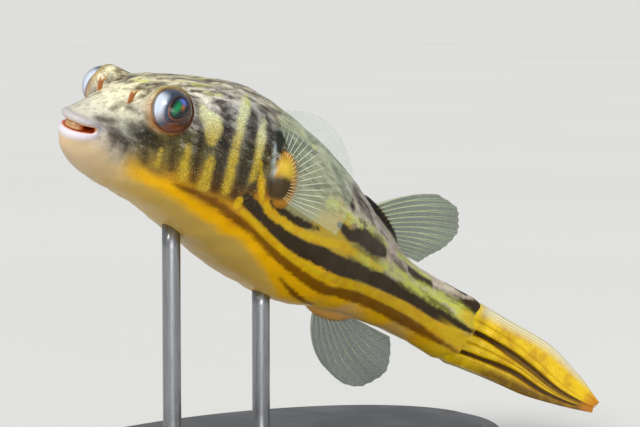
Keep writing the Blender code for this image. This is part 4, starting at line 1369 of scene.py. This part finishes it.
    def ground(self, points: Array) -> Array:
        """The ground colour: the patches' average, weighted by the nearness of each to the point."""
        total = np.zeros((len(points), 3))
        weight = np.full((len(points), 1), 1e-9)
        for at, angle, reach, *tone in GROUND:
            for turned in (math.radians(angle), math.radians(180.0 - angle)):
                gap = ((points - BODY.surface(at, turned)) ** 2).sum(axis=1, keepdims=True)
                near = np.exp(-gap / reach**2 / 1.4) + 1e-5 / (gap + 1.0)
                total += near * np.array(linear(*tone))
                weight += near
        return total / weight

    def paint(self, rings: Array, station: Array, left: Array, angle: Array) -> Paint:
        """Colours laid over the markings: lips and mouth, eye rims, gills with painted shade in the gill
        opening, and the bases of the fins.
        """
        points = rings.reshape(-1, 3)
        paint = Paint(len(points))
        self.paint_mouth(paint, np.broadcast_to(np.arange(len(rings))[:, None], station.shape), angle)
        for sign in SIGNS.values():
            self.paint_lids(paint, points, sign)
            self.paint_lobe(paint, points, sign)
        flap = self.gill_line(left) + 0.75 - station
        paint.lay(bell(flap, 0.0, 0.26) * window((158, 166), (178, 188), left) * 0.9, 188, 204, 206)
        # Painted shade: a dark patch for the gill opening, above the pectoral base.
        slot = np.hypot((station - self.slot[0]) / 1.5, np.radians(left - self.slot[1]) * 15.0 / 2.6)
        paint.lay((1 - smoothstep(0.6, 1.1, slot)) * 0.9, 26, 34, 24)
        gold = (window((172.0, 180.0), (196.0, 201.0), left) + window((212.0, 217.0), (262.0, 268.0), left)
                + 0.8 * window((134.0, 142.0), (156.0, 162.0), left) * smoothstep(108.0, 112.0, station))
        reach = station + 1.6 * np.sin(np.radians(left) * 19) * np.sin(np.radians(left) * 7)
        paint.lay(gold * smoothstep(104.0, 112.6, reach) * 0.95, 224, 186, 14)
        top = smoothstep(-0.7, 0.0, -DORSAL_BASE.distance(points))
        paint.lay(top, 20, 15, 14)
        ridge = (points - DORSAL_BASE.centre()) @ BODY.axes(DORSAL_AT)[2]
        ridge = ridge + 0.27 * (station.ravel() - DORSAL_AT)
        paint.lay(top * smoothstep(2.2, 2.8, ridge) * 0.8, 128, 84, 26)
        paint.lay(smoothstep(-0.8, 0.1, -ANAL_BASE.distance(points)), 216, 160, 78)
        return paint

    def paint_mouth(self, paint: Paint, row: Array, angle: Array) -> None:
        """Grey upper and white lower lips, with red flesh inside, by how far round the bead each row is."""
        lip = (row - self.throat_rows + 1) / (self.lip_rows - 1)
        upper = smoothstep(-0.12, 0.12, np.sin(angle))
        paint.lay((1 - smoothstep(1.0, 1.62, lip)) * upper * 0.72, 170, 167, 174)
        paint.lay((1 - smoothstep(0.66, 1.2, lip)) * (1 - upper) * 0.85, 212, 208, 222)
        paint.lay(smoothstep(0.6, 0.36, lip) * upper * 0.9, 212, 160, 108)
        paint.lay(1 - smoothstep(0.12, 0.3, lip), 206, 98, 44)
        paint.lay(1 - smoothstep(-0.3, 0.05, lip), 196, 74, 30)

    def paint_lids(self, paint: Paint, points: Array, sign: int) -> None:
        """The ring of skin round an eye: tan in front, brown below and dark behind."""
        rim = self.lid_distance(points, sign)
        offset = points - EYES.centre(sign)
        _, tailward, up = EYES.frame(sign)
        behind, above = offset @ tailward / EYES.radius, offset @ up / EYES.radius
        near = 1 - smoothstep(0.0, 0.5, rim)
        wide = (1 - smoothstep(0.1, 1.5, rim)) * smoothstep(0.1, -0.7, behind)
        inner = np.linalg.norm(offset, axis=1) - self.lid_radius
        paint.lay(wide * smoothstep(0.7, 0.0, above) * 0.42, 200, 156, 108)
        paint.lay((1 - smoothstep(0.0, 1.0, rim)) * smoothstep(-0.3, -0.9, above) * 0.6, 120, 76, 30)
        paint.lay(near * 0.8, 150, 108, 56)
        paint.lay(near * smoothstep(-0.1, 0.7, behind) * 0.95, 58, 40, 26)
        paint.lay(near * smoothstep(0.3, 0.9, above) * 0.7, 150, 140, 84)
        paint.lay(near * (1 - smoothstep(0.02, 0.3, inner)) * 0.9, 92, 38, 18)

    def paint_lobe(self, paint: Paint, points: Array, sign: int) -> None:
        """A pectoral base: orange with a yellow top, a pale rear, a brown outline and a dark blotch below."""
        tailward, _, up = BODY.axes(PECTORAL_AT)
        lobe = -PECTORAL_BASES[sign].distance(points)
        local = points - BODY.inside(PECTORAL_AT, sign * 16.8, -1.4)
        back, height = local @ tailward, local @ up
        on_lobe = smoothstep(-0.3, 0.1, lobe)
        blotch = np.hypot((back + 1.3) / 3.1, (height + 1.9) / 2.9)
        paint.lay(on_lobe, 206, 150, 52)
        paint.lay(on_lobe * smoothstep(0.6, 2.4, back + 0.3 * height) * 0.85, 196, 164, 96)
        top = bell(np.hypot((back + 1.3) / 2.1, (height - 2.0) / 2.2), 0.0, 1.0, 4)
        paint.lay(on_lobe * top, 238, 218, 70)
        paint.lay(on_lobe * bell(lobe, 0.1, 0.3) * 0.6, 150, 96, 30)
        paint.lay(smoothstep(-1.4, -0.3, lobe) * (1 - smoothstep(0.6, 1.02, blotch)) * 0.95, 50, 43, 26)

    def build(self) -> bpy.types.Object:
        """Make the skin, which stands for every node of flesh."""
        rings, station = self.grid(turns(self.columns))
        angle = np.broadcast_to(turns(self.columns), station.shape)
        shaped = self.relief(rings, station, on_left(angle))
        shell = Shell.tube(shaped, BODY.inside(*self.throat), BODY.inside(self.tail_end, 0.0, 0.4),
                           **self.layers(shaped, station, angle))
        return POSE.placed(shell).piece("skin", SkinFinish().material(), "skin", "head", "trunk", "tail",
                                        "lip_upper", "lip_lower", "pectoral_base_left", "pectoral_base_right",
                                        "dorsal_fin_base", "anal_fin_base")


@dataclass
class Eye:
    """An eyeball under a thin clear dome."""

    side: str
    columns: int = 96
    dome_rings: int = 40
    dome_edge: float = 82.0
    dome_wall: float = 0.16
    dome_bulge: float = 0.22
    dome_gap: float = 0.05
    pupil_hollow: float = 0.1

    def turned(self, turn: Array, radius: Array, end: float) -> Shell:
        """Carry a profile round the gaze line, with each point's offsets up and snoutward of that line.

        Args:
            turn: the profile's angles off the gaze.
            radius: its distances from the eye's centre.
            end: where on the gaze line it closes.
        """
        sign = SIGNS[self.side]
        gaze, tailward, up = EYES.frame(sign)
        angle, off = turns(self.columns), (radius * np.sin(turn))[:, None]
        ring = np.cos(angle)[:, None] * tailward + np.sin(angle)[:, None] * up
        rings = EYES.centre(sign) + (radius * np.cos(turn))[:, None, None] * gaze + off[..., None] * ring
        ends = (EYES.centre(sign) + gaze * radius[0], EYES.centre(sign) + gaze * end)
        return Shell.tube(rings, *ends, lift=off * np.sin(angle), fore=-off * np.cos(angle),
                          behind=np.degrees(turn)[:, None])

    def build(self) -> list[bpy.types.Object]:
        """Make the painted ball, hollowed a little at the pupil, and the dome, which bulges over it there."""
        turn = np.radians(np.concatenate([np.linspace(0.5, 60.0, 60), np.linspace(62.0, 178.0, 40)]))
        radius = EYES.radius - self.dome_wall - self.dome_gap - self.pupil_hollow * bell(turn, 0.0, 0.5, 4)
        ball = self.turned(turn, radius, -radius[-1])
        outward = np.radians(np.linspace(0.6, self.dome_edge, self.dome_rings))
        turn = np.concatenate([outward, outward[::-1]])
        wall = np.repeat([0.0, self.dome_wall], self.dome_rings)
        radius = EYES.radius - wall + self.dome_bulge * np.cos(turn) ** 4
        dome = self.turned(turn, radius, radius[-1])
        dome.layers = {"behind": dome.layers["behind"]}
        node = f"eye_{self.side}"
        return [POSE.placed(ball).piece(f"eyeball_{self.side}", EyeFinish().material(), "eye", node),
                POSE.placed(dome).piece(f"cornea_{self.side}", CorneaFinish().material(), "eye")]


def strap(path: Array, width: Array, depth: Array, side: Array, columns: int = 20) -> Shell:
    """Carry an oval section of changing size along a path, closed at both ends.

    Args:
        path: points along the middle.
        width: half width of the section at each point, along `side`.
        depth: half thickness at each point.
        side: the direction of the width, made square to the path.
        columns: points round the section.

    Returns:
        The closed shell, with the share of its length as the value `reach`.
    """
    ahead = unit(np.gradient(path, axis=0))
    wide = unit(side - ahead * (ahead @ side)[:, None])
    thick = np.cross(ahead, wide)
    angle = turns(columns)
    rings = (path[:, None] + (width[:, None] * np.cos(angle))[..., None] * wide[:, None]
             + (depth[:, None] * np.sin(angle))[..., None] * thick[:, None])
    return Shell.tube(rings, path[0], path[-1] + ahead[-1] * width[-1] * 0.3,
                      reach=np.linspace(0.0, 1.0, len(path))[:, None])


@dataclass
class Tentacle:
    """A forked nasal tentacle: one flat stalk that parts into two curved lobes."""

    side: str
    at: float = 10.2
    across: float = 4.3
    length: float = 3.6
    spread: float = 2.5
    lean: float = -6.0
    gap: float = 0.16
    half_width: float = 0.42
    half_depth: float = 0.18

    def build(self) -> bpy.types.Object:
        """Make both lobes as one piece. They share a root, and each leans and curls its own way."""
        _, up = BODY.section(self.at, np.arccos(0.55))
        tailward, _, _ = BODY.axes(self.at)
        reach = np.linspace(0.0, 1.0, 22)
        across = self.across + 0.15 + 0.2 * self.length * reach + 0.12 * np.sin(5 * reach)
        taper = np.sqrt(np.maximum(1.0 - reach**5, 0.0)) * (1.1 - 0.35 * reach) + 0.02
        lobes = []
        for lobe in (-1, 1):
            lean = np.radians(self.lean + lobe * self.spread * smoothstep(0.1, 0.8, reach))
            along = self.at + self.length * reach * np.sin(lean) + (0.9 + 0.4 * lobe) * reach**3
            along = along + lobe * self.gap * smoothstep(0.0, 0.3, reach)
            height = float(up) - 0.5 + (self.length + 0.5) * (reach - 0.2 * reach**3) * np.cos(lean)
            path = BODY.inside(along, SIGNS[self.side] * across, height)
            lobes.append(strap(path, self.half_width * taper, self.half_depth * taper, tailward))
        shell, node = POSE.placed(Shell.joined(lobes)), f"nasal_tentacle_{self.side}"
        return shell.piece(f"{node}_finished", TentacleFinish().material(), "skin", node)


@dataclass
class Beak:
    """The tooth plates behind the lips: a bowed ridge, parted by the bite line and a seam in the middle."""

    at: float = 2.9
    up: float = -0.2
    radii: tuple[float, float, float] = (1.5, 2.35, 1.15)

    def build(self) -> bpy.types.Object:
        """Make the plates: an ellipsoid flattened below and above, grooved across and in the middle."""
        tilt = np.linspace(-0.5, 0.5, 40)[1:-1, None] * math.pi
        turn = turns(72)
        groove = 1.0 - 0.1 * bell(tilt, 0.0, 0.12)
        seam = 1.0 - 0.09 * bell((turn + math.pi) % (2 * math.pi), math.pi, 0.08)
        along = self.at - self.radii[0] * np.cos(tilt) * np.cos(turn) * groove * seam
        across = self.radii[1] * np.cos(tilt) * np.sin(turn) * groove
        up = self.up + self.radii[2] * np.sign(tilt) * np.abs(np.sin(tilt)) ** 0.8
        poles = [BODY.inside(self.at, 0.0, self.up + self.radii[2] * end) for end in (-1, 1)]
        depth = (along - self.at) / self.radii[0] / 2 + 0.5
        shell = Shell.tube(BODY.inside(along, across, up), *poles, depth=depth)
        return POSE.placed(shell).piece("tooth_plates", BeakFinish().material(), "beak", "beak")


class FinKind(Enum):
    """The fins that open as a fan of rays."""

    PECTORAL_LEFT = "pectoral_fin_left"
    PECTORAL_RIGHT = "pectoral_fin_right"
    DORSAL = "dorsal_fin"
    ANAL = "anal_fin"


@dataclass
class RayedFin:
    """A fin as a fan of branching rays in a thin clear membrane, laid out flat and then set on the body.

    Its lines are worked out tailward, out and up from its own zero, which `centre` puts on the fish and
    `axes` turns. Fine ridges run from its rays over the fleshy base that carries it.
    """

    kind: FinKind
    centre: Array
    axes: Axes
    base: Swelling
    root_front: tuple[float, float]
    root_rear: tuple[float, float]
    front_angle: float
    rear_angle: float
    lengths: tuple[float, ...]
    rays: int
    bow: float = 0.0
    front_sweep: float = 0.0
    wave: float = 0.35
    scallop: float = 0.12
    ray_width: float = 0.16
    fading: float = 0.5
    fade_from: float = 0.45
    steps: int = 60
    columns_per_ray: int = 20
    root_thickness: float = 0.6
    edge_thickness: float = 0.2
    ridge_sides: tuple[int, ...] = (1, -1)
    ridge_run: float = 0.8
    ridge_half_width: float = 0.08
    ridge_steps: int = 10

    def line(self, share: Array, reach: Array) -> Array:
        """Points of a ray's middle line on the fish: it starts on the root and bends a little.

        Args:
            share: the ray's place in the fan, from 0 at the front to 1 at the rear.
            reach: places from 0 at the root to 1 at the tip.

        Returns:
            The points, of the shape that share and reach broadcast to.
        """
        angle = np.radians(self.front_angle + (self.rear_angle - self.front_angle) * share)
        angle = angle - np.radians(self.front_sweep) * np.maximum(reach, 0.0) * (1.0 - share)
        length = smooth_through(np.linspace(0, 1, len(self.lengths)), self.lengths, share)
        (front, top), (rear, bottom) = self.root_front, self.root_rear
        tailward = front + (rear - front) * share + length * reach * np.cos(angle)
        up = top + (bottom - top) * share + length * reach * np.sin(angle)
        out = self.bow * reach**2 * np.sin(math.pi * (0.15 + 0.7 * share))
        wave = np.sin(2 * math.pi * (share * 2.3 + 0.35 * reach))
        out = out + self.wave * smoothstep(0.1, 1.0, reach) * wave
        return self.centre + spread(tailward, out, up) @ np.stack(self.axes)

    def fan(self) -> tuple[Array, Array, Array]:
        """Lay the fan out: rays at even shares between the first and the last, each splitting on its way.

        Returns:
            The points, steps x columns; the height of the rays; and the reach.
        """
        share = np.linspace(0.0, 1.0, self.rays * self.columns_per_ray + 1)[None, :]
        reach = np.linspace(-0.12, 1.0, self.steps)[:, None]
        phase = share * self.rays
        split = smoothstep(0.45, 0.75, reach)
        narrow = self.ray_width / (1.0 + 0.7 * smoothstep(0.0, 0.6, reach))
        offset = 0.03 + 0.13 * split
        single = bell((phase + 0.5) % 1.0, 0.5, narrow)
        twin = np.maximum(*(bell((phase + way * offset + 0.5) % 1.0, 0.5, narrow * 0.8) for way in (1, -1)))
        ray = single * (1 - split) + 0.95 * twin * split
        ray = ray * (1.0 - self.fading * smoothstep(self.fade_from, 0.97, reach))
        notch = self.scallop * (0.5 + 0.5 * np.cos(2 * math.pi * phase + math.pi)) / min(self.lengths)
        return self.line(share, reach * (1.0 - notch * np.maximum(reach, 0.0))), ray, reach + 0 * share

    def blade(self, finish: FinFinish) -> bpy.types.Object:
        """The fan with its thickness: thickest on the rays and at the root, and rounded off at the edge."""
        middle, ray, reach = self.fan()
        thin = self.root_thickness + (self.edge_thickness - self.root_thickness) * smoothstep(0.0, 0.7, reach)
        half = thin * (0.5 + 0.75 * ray) / 2 * np.sqrt(np.clip(1.03 - smoothstep(0.93, 1.0, reach), 0.0, 1.0))
        offset = grid_normals(middle, wrap=False) * half[..., None]
        shell = Shell.sheet(middle + offset, middle - offset)
        root = 1.0 - smoothstep(0.0, 1.6 / min(self.lengths), reach)
        shell.layers = {"ray": np.tile(ray.ravel(), 2), "root": np.tile(root.ravel(), 2)}
        return POSE.placed(shell).piece(f"{self.kind.value}_blade", finish.material(), "fin", self.kind.value)

    def ray_roots(self, finish: FinFinish) -> bpy.types.Object:
        """A ridge along the last of each ray's line inside the base, lifted to the base's surface."""
        middle = self.base.centre()
        taper = np.sin(np.linspace(0.08, 0.8, self.ridge_steps) * math.pi) ** 0.6 * self.ridge_half_width
        tries = np.linspace(0.0, 0.6, 121)
        ridges = []
        for ray in range(self.rays):
            share = (ray + 0.5) / self.rays
            for out in (side * self.axes[1] for side in self.ridge_sides):
                rise = self.base.rise(self.line(share, tries) - middle, out)
                leaves = tries[np.argmax(rise <= 0)] if (rise <= 0).any() else 0.1
                reach = leaves + np.linspace(-self.ridge_run, 0.5, self.ridge_steps) / max(self.lengths)
                points = self.line(share, reach)
                lifted = points + out * self.base.rise(points - middle, out)[:, None]
                across = np.cross(lifted[-1] - lifted[0], self.axes[1])
                ridges.append(strap(lifted, taper, 0.7 * taper, across, 8))
        shell = Shell.joined(ridges)
        shell.layers = {"ray": np.ones(len(shell.points)), "root": np.zeros(len(shell.points))}
        return POSE.placed(shell).piece(f"{self.kind.value}_ray_roots", finish.material(), "fin")


@dataclass
class Fins:
    """The four fans and their places on the body."""

    pectoral_out: float = 15.9
    pectoral_spread: float = 35.0
    dorsal_lean: float = 15.0

    def pectoral(self, kind: FinKind, sign: int) -> RayedFin:
        """A pectoral fan, spread out from the flank."""
        tailward, right, up = BODY.axes(PECTORAL_AT)
        spread_out, out = math.radians(self.pectoral_spread), sign * right
        axes = (math.cos(spread_out) * tailward + math.sin(spread_out) * out,
                math.cos(spread_out) * out - math.sin(spread_out) * tailward, up)
        centre = BODY.inside(PECTORAL_AT, sign * self.pectoral_out, 0.0)
        return RayedFin(kind, centre, axes, PECTORAL_BASES[sign], (-2.1, 2.0), (1.6, -5.0), 108.0, -12.0,
                        (9.6, 12.6, 14.3, 14.4, 13.4, 12.2), 18, ray_width=0.12, fading=0.74, fade_from=0.12,
                        ridge_sides=(1,), ridge_run=1.7, ridge_half_width=0.09)

    def dorsal(self) -> RayedFin:
        """The dorsal fan, leaned over to the left."""
        axes = BODY.turned_plane(DORSAL_AT, lean=self.dorsal_lean)
        return RayedFin(FinKind.DORSAL, DORSAL_BASE.centre(), axes, DORSAL_BASE, (-4.5, 0.8), (6.6, -2.6),
                        62.0, 13.0, (17.0, 20.4, 20.2, 16.6, 12.4, 8.2), 13, bow=-0.8, front_sweep=16.0)

    def anal(self) -> RayedFin:
        """The anal fan, which hangs below the stalk."""
        return RayedFin(FinKind.ANAL, ANAL_BASE.centre(), BODY.turned_plane(ANAL_AT), ANAL_BASE, (-3.6, -1.8),
                        (4.0, 1.0), -72.0, 8.0, (13.0, 18.4, 20.6, 20.0, 17.4, 13.0), 11, bow=-0.8,
                        front_sweep=-30.0)

    def build(self) -> list[bpy.types.Object]:
        """Make each fan and its ray roots, in the colours of its membrane and its base."""
        clear = FinFinish("pectoral_membrane", linear(164, 180, 158), linear(214, 222, 208),
                          linear(214, 188, 120), 0.85)
        comb = FinFinish("pectoral_ray_roots", linear(226, 196, 130), linear(230, 202, 138),
                         linear(214, 180, 110))
        green = FinFinish("dorsal_membrane", linear(84, 106, 84), linear(196, 204, 160),
                          linear(92, 62, 24), 0.42)
        fringe = FinFinish("dorsal_ray_roots", linear(150, 96, 22), linear(160, 104, 26), linear(150, 90, 16))
        smoke = FinFinish("anal_membrane", linear(68, 88, 76), linear(176, 186, 160),
                          linear(196, 150, 84), 0.42)
        peach = FinFinish("anal_ray_roots", linear(214, 160, 96), linear(226, 176, 112), linear(206, 150, 84))
        fans = ((self.pectoral(FinKind.PECTORAL_LEFT, SIGNS["left"]), clear, comb),
                (self.pectoral(FinKind.PECTORAL_RIGHT, SIGNS["right"]), clear, comb),
                (self.dorsal(), green, fringe), (self.anal(), smoke, peach))
        made = []
        for fan, membrane, roots in fans:
            made += [fan.blade(membrane), fan.ray_roots(roots)]
        return made


@dataclass
class TailFin:
    """The closed tail fin: a bundle of rays, pleated lengthwise, narrowing and curving to the left."""

    length: float = 32.6
    rings: int = 150
    columns: int = 320
    fold_depth: float = 0.55
    ray_lines: int = 13
    line_height: float = 0.05
    swing: float = 22.0
    curl: float = -1.0
    blend: float = 0.15
    start: float = -0.14

    def folds(self, ahead: Array, height: Array) -> Array:
        """How deep in a valley between folds each place is, from 0 on a ridge to 1.

        Two deep valleys run the fin's length and close on each other towards the tip, with a shallow crease
        under the upper margin and another in the upper fold. Each is a bell across the height.
        """
        upper = smooth_through([-0.12, 0.1, 0.5, 0.8, 1.0], [0.22, 0.2, -0.03, -0.3, -0.35], ahead)
        lower = smooth_through([-0.12, 0.1, 0.4, 0.72, 1.0], [-0.45, -0.47, -0.42, -0.63, -0.72], ahead)
        wide = 0.6 + 0.4 * smoothstep(0.1, 0.4, ahead)
        deep = (bell(height, upper, 0.12 * wide) + 0.9 * bell(height, lower, 0.1 * wide)
                - 0.45 * bell(height, upper - 0.02, 0.035) * smoothstep(0.15, 0.4, ahead))
        shallow = (0.12 * bell(height, 0.66, 0.05) + 0.25 * bell(height, upper + 0.33, 0.04)
                   + 0.3 * bell(height, (upper + lower) / 2, 0.035))
        return np.clip((deep + shallow) * smoothstep(-0.16, 0.02, ahead), 0.0, 1.1)

    def build(self) -> bpy.types.Object:
        """Make the bundle: an oval section whose size and middle change along it, creased by its folds."""
        reach = np.linspace(self.start, 1.0, self.rings)[:, None]
        ahead = np.maximum(reach, 0.0)
        angle = turns(self.columns)
        half_height = smooth_through([0, 0.2, 0.5, 0.8, 1.0], [7.55, 7.0, 6.4, 4.0, 1.5], ahead)
        half_thick = smooth_through([0, 0.1, 0.3, 0.8, 1.0], [3.5, 2.6, 1.8, 0.95, 0.45], ahead)
        middle = smooth_through([0, 0.5, 1.0], [0.1, 2.2, 2.9], ahead)
        shrink = np.sqrt(np.clip((reach - self.start) / -self.start, 0.0, 1.0)) * 0.1 + 0.9
        height = np.sin(angle) + 0 * reach
        folds = self.folds(reach, height)
        lines = 0.5 + 0.5 * np.cos(2 * math.pi * self.ray_lines * (height + 0.04 * np.sin(5.0 * reach)))
        side = np.sign(np.cos(angle))
        out = half_thick * shrink * side * np.abs(np.cos(angle)) ** 0.75 * (1.0 - self.fold_depth * folds)
        out = out - side * self.line_height * lines * smoothstep(0.05, 0.3, reach)
        ragged = 0.014 * np.cos(2 * math.pi * 2.2 * height + 1.0) - 0.03 * np.minimum(folds, 1.0)
        ragged = 1.0 + ragged * smoothstep(0.8, 1.0, ahead)
        grid = spread(self.length * reach * ragged, self.curl * ahead**2 + out,
                      middle + half_height * shrink * height)
        straight, turned = BODY.turned_plane(BODY.length), BODY.turned_plane(BODY.length, swing=self.swing)
        share = np.clip(ahead / self.blend, 0.0, 1.0)[..., None]
        rings = BODY.inside(BODY.length, 0.0, 0.0) + (grid @ np.stack(straight)) * (1 - share)
        rings = rings + (grid @ np.stack(turned)) * share
        edge = smoothstep(0.6, 0.96, height) * window((-0.06, 0.04), (0.75, 0.98), reach)
        edge = edge + 0.7 * smoothstep(-0.86, -0.98, height) * (1 - smoothstep(0.1, 0.5, ahead))
        # fold and under carry painted shade: darker in the valleys between the folds and towards the
        # underside.
        shell = Shell.tube(rings, rings[0].mean(axis=0), rings[-1].mean(axis=0), fold=folds, edge=edge,
                           line=smoothstep(0.6, 1.0, lines) * smoothstep(0.02, 0.15, reach),
                           under=smoothstep(-0.5, -0.8, height) * smoothstep(0.05, 0.35, reach),
                           tip=smoothstep(0.86, 1.0, reach))
        return POSE.placed(shell).piece("tail_fin_folded", TailFinish().material(), "fin", "tail_fin")


@dataclass
class Stand:
    """The display stand: an oval base with a rounded, stepped edge, and two steel rods up to the belly."""

    columns: int = 192
    edge: float = 1.6
    step_in: float = 2.6
    step_drop: float = 0.9
    step_edge: float = 0.5
    rod_columns: int = 48
    ferrule_radius: float = 3.0
    ferrule_height: float = 2.4
    ferrule_edge: float = 0.8
    foot_gap: float = 0.3
    foot_sink: float = 0.4
    into_belly: float = 0.9

    def box(self, node: str) -> tuple[Array, Array, Array]:
        """The low corner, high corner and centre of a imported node's box, in millimetres."""
        low, high = (np.array(corner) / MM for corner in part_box(node))
        return low, high, (low + high) / 2

    def oval(self, centre: Array, half: Array, profile: list[tuple[float, float]], columns: int) -> Shell:
        """Carry a profile of insets and heights round an upright oval, and close it below and above."""
        inset, height = np.array(profile).T[..., None]
        angle = turns(columns)
        rings = spread(centre[0] + (half[0] - inset) * np.cos(angle),
                       centre[1] + (half[1] - inset) * np.sin(angle), height)
        return Shell.tube(rings, [*centre[:2], height[0, 0]], [*centre[:2], height[-1, 0]])

    def base(self) -> bpy.types.Object:
        """The base: a rounded edge, a ledge and a raised top with a small rounded edge of its own."""
        low, high, centre = self.box("stand_base")
        turn = np.linspace(0.0, math.pi / 2, 9)
        top, half = high[2], high - centre
        ledge, inner = top - self.step_drop, self.edge + self.step_in
        profile = [(self.edge * 0.6, 0.0), (0.15, 0.25), (0.0, 0.6), (0.0, ledge - self.edge)]
        profile += zip(self.edge * (1 - np.cos(turn)), ledge - self.edge + self.edge * np.sin(turn))
        profile += [(inner - 0.3, ledge), (inner, ledge + 0.3)]
        profile += zip(inner + self.step_edge * (1 - np.cos(turn)) + 0.05,
                       top - self.step_edge + self.step_edge * np.sin(turn) * 0.999)
        profile += [(half[1] * 0.4, top), (half[1] * 0.8, top)]
        shell = self.oval(centre, half, profile, self.columns)
        return shell.piece("stand_base_finished", StandFinish().material(), "stand", "stand_base")

    def rod(self, place: str) -> bpy.types.Object:
        """A rod with a rounded ferrule at its foot, run up into the belly."""
        low, high, centre = self.box(f"stand_rod_{place}")
        radius, floor, turn = (high[0] - low[0]) / 2, low[2] - self.foot_gap, np.linspace(0.0, math.pi / 2, 8)
        collar = floor + self.ferrule_height
        shoulder = collar - self.ferrule_edge
        neck = self.ferrule_radius - radius
        profile = [(0.0, floor - self.foot_sink), (0.0, shoulder)]
        profile += zip(self.ferrule_edge * (1 - np.cos(turn)), shoulder + self.ferrule_edge * np.sin(turn))
        profile += [(neck - 0.02, collar)]
        profile += [(neck, height) for height in np.linspace(collar + 0.1, high[2] + self.into_belly, 9)]
        shell = self.oval(centre, np.full(2, self.ferrule_radius), profile, self.rod_columns)
        node = f"stand_rod_{place}"
        return shell.piece(f"{node}_finished", RodFinish().material(), "stand", node)

    def build(self) -> list[bpy.types.Object]:
        """Make the base and both rods."""
        return [self.base(), self.rod("front"), self.rod("rear")]


# ---- the studio --------------------------------------------------------------------------------------------


@dataclass
class Studio:
    """A wide pale floor, a broad high key light, a soft lamp and the camera."""

    floor_radius: float = 600.0
    floor_columns: int = 96
    key_strength: float = 2.8
    key_spread: float = 22.0
    key_aim: tuple[float, float] = (48.0, 38.0)
    key_tone: Tone = (1.0, 0.98, 0.93)
    lamp_place: Tone = (-0.5, -0.7, 0.06)
    lamp_aim: Tone = (0.0, 0.0, 0.06)
    lamp_size: float = 0.5
    lamp_watts: float = 3.2
    lamp_tone: Tone = (1.0, 0.97, 0.92)
    world_tone: Tone = (0.93, 0.96, 1.0)
    world_strength: float = 0.45
    camera_place: tuple[float, float, float] = (-0.3417, -0.3597, 0.0984)
    camera_azimuth: float = -45.0
    camera_elevation: float = 5.0
    lens: float = 139.7

    def add(self, name: str, data: bpy.types.ID) -> bpy.types.Object:
        """Put a mesh, light or camera in the scene."""
        made = bpy.data.objects.new(name, data)
        bpy.context.scene.collection.objects.link(made)
        return made

    def floor(self) -> None:
        """The floor: a flat disc as rings of growing radius round the centre."""
        radius, angle = np.geomspace(0.05, self.floor_radius, 40)[:, None], turns(self.floor_columns)
        rings = spread(radius * np.cos(angle), radius * np.sin(angle), 0.0)
        count, side = self.floor_columns, np.arange(self.floor_columns)
        rows, following = np.arange(len(radius) - 1)[:, None] * count, (side + 1) % count
        quads = np.stack([rows + side, rows + count + side, rows + count + following, rows + following], -1)
        middle = spread(rings.size // 3, side, following)
        mesh = bpy.data.meshes.new("studio_floor")
        mesh.from_pydata([*rings.reshape(-1, 3).tolist(), (0, 0, 0)], [],
                         [*quads.reshape(-1, 4).tolist(), *middle.tolist()])
        mesh.shade_smooth()
        mesh.materials.append(FloorFinish().material())
        self.add("studio_floor", mesh)

    def lights(self) -> None:
        """The key, from high on the camera's left, a square lamp that fills in front, and even light."""
        key = bpy.data.lights.new("key_light", "SUN")
        key.energy, key.angle, key.color = self.key_strength, math.radians(self.key_spread), self.key_tone
        tilt, turn = (math.radians(part) for part in self.key_aim)
        self.add("key_light", key).rotation_euler = (tilt, 0.0, math.radians(self.camera_azimuth) - turn)
        lamp = bpy.data.lights.new("fill_lamp", "AREA")
        lamp.size, lamp.energy, lamp.color = self.lamp_size, self.lamp_watts, self.lamp_tone
        made = self.add("fill_lamp", lamp)
        aim = np.array(self.lamp_aim) - np.array(self.lamp_place)
        made.location = self.lamp_place
        down = math.acos(-aim[2] / np.linalg.norm(aim))
        made.rotation_euler = (down, 0.0, math.atan2(aim[1], aim[0]) - math.pi / 2)
        made.visible_camera = False
        world = bpy.data.worlds.new("studio_light")
        world.use_nodes = True
        world.node_tree.nodes["Background"].inputs["Color"].default_value = (*self.world_tone, 1.0)
        world.node_tree.nodes["Background"].inputs["Strength"].default_value = self.world_strength
        bpy.context.scene.world = world
        bpy.context.scene.view_settings.view_transform = "Standard"

    def camera(self) -> None:
        """The camera, a little above the fish's side and well off, with a long lens."""
        camera = bpy.data.cameras.new("camera")
        camera.sensor_width, camera.lens = 36.0, self.lens
        camera.clip_start, camera.clip_end = 0.01, 1000.0
        made = self.add("camera", camera)
        made.location = self.camera_place
        tilt, turn = math.radians(90.0 - self.camera_elevation), math.radians(self.camera_azimuth)
        made.rotation_euler = (tilt, 0.0, turn)
        bpy.context.scene.camera = made

    def build(self) -> None:
        """Set up the floor, the lights and the camera."""
        self.floor()
        self.lights()
        self.camera()


def main() -> None:
    """Build the fish, its stand and the studio."""
    logging.basicConfig(level=logging.INFO, format="%(name)s: %(message)s")
    LOG.info("packed frame with %d nodes", len(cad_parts))
    pieces = [Skin().build()]
    for side in SIGNS:
        pieces += Eye(side).build()
        pieces.append(Tentacle(side).build())
    pieces.append(Beak().build())
    pieces += Fins().build()
    pieces.append(TailFin().build())
    pieces += Stand().build()
    Studio().build()
    for piece in pieces:
        LOG.info("%s: %d faces", piece.name, len(piece.data.polygons))


if __name__ == "__main__":
    main()
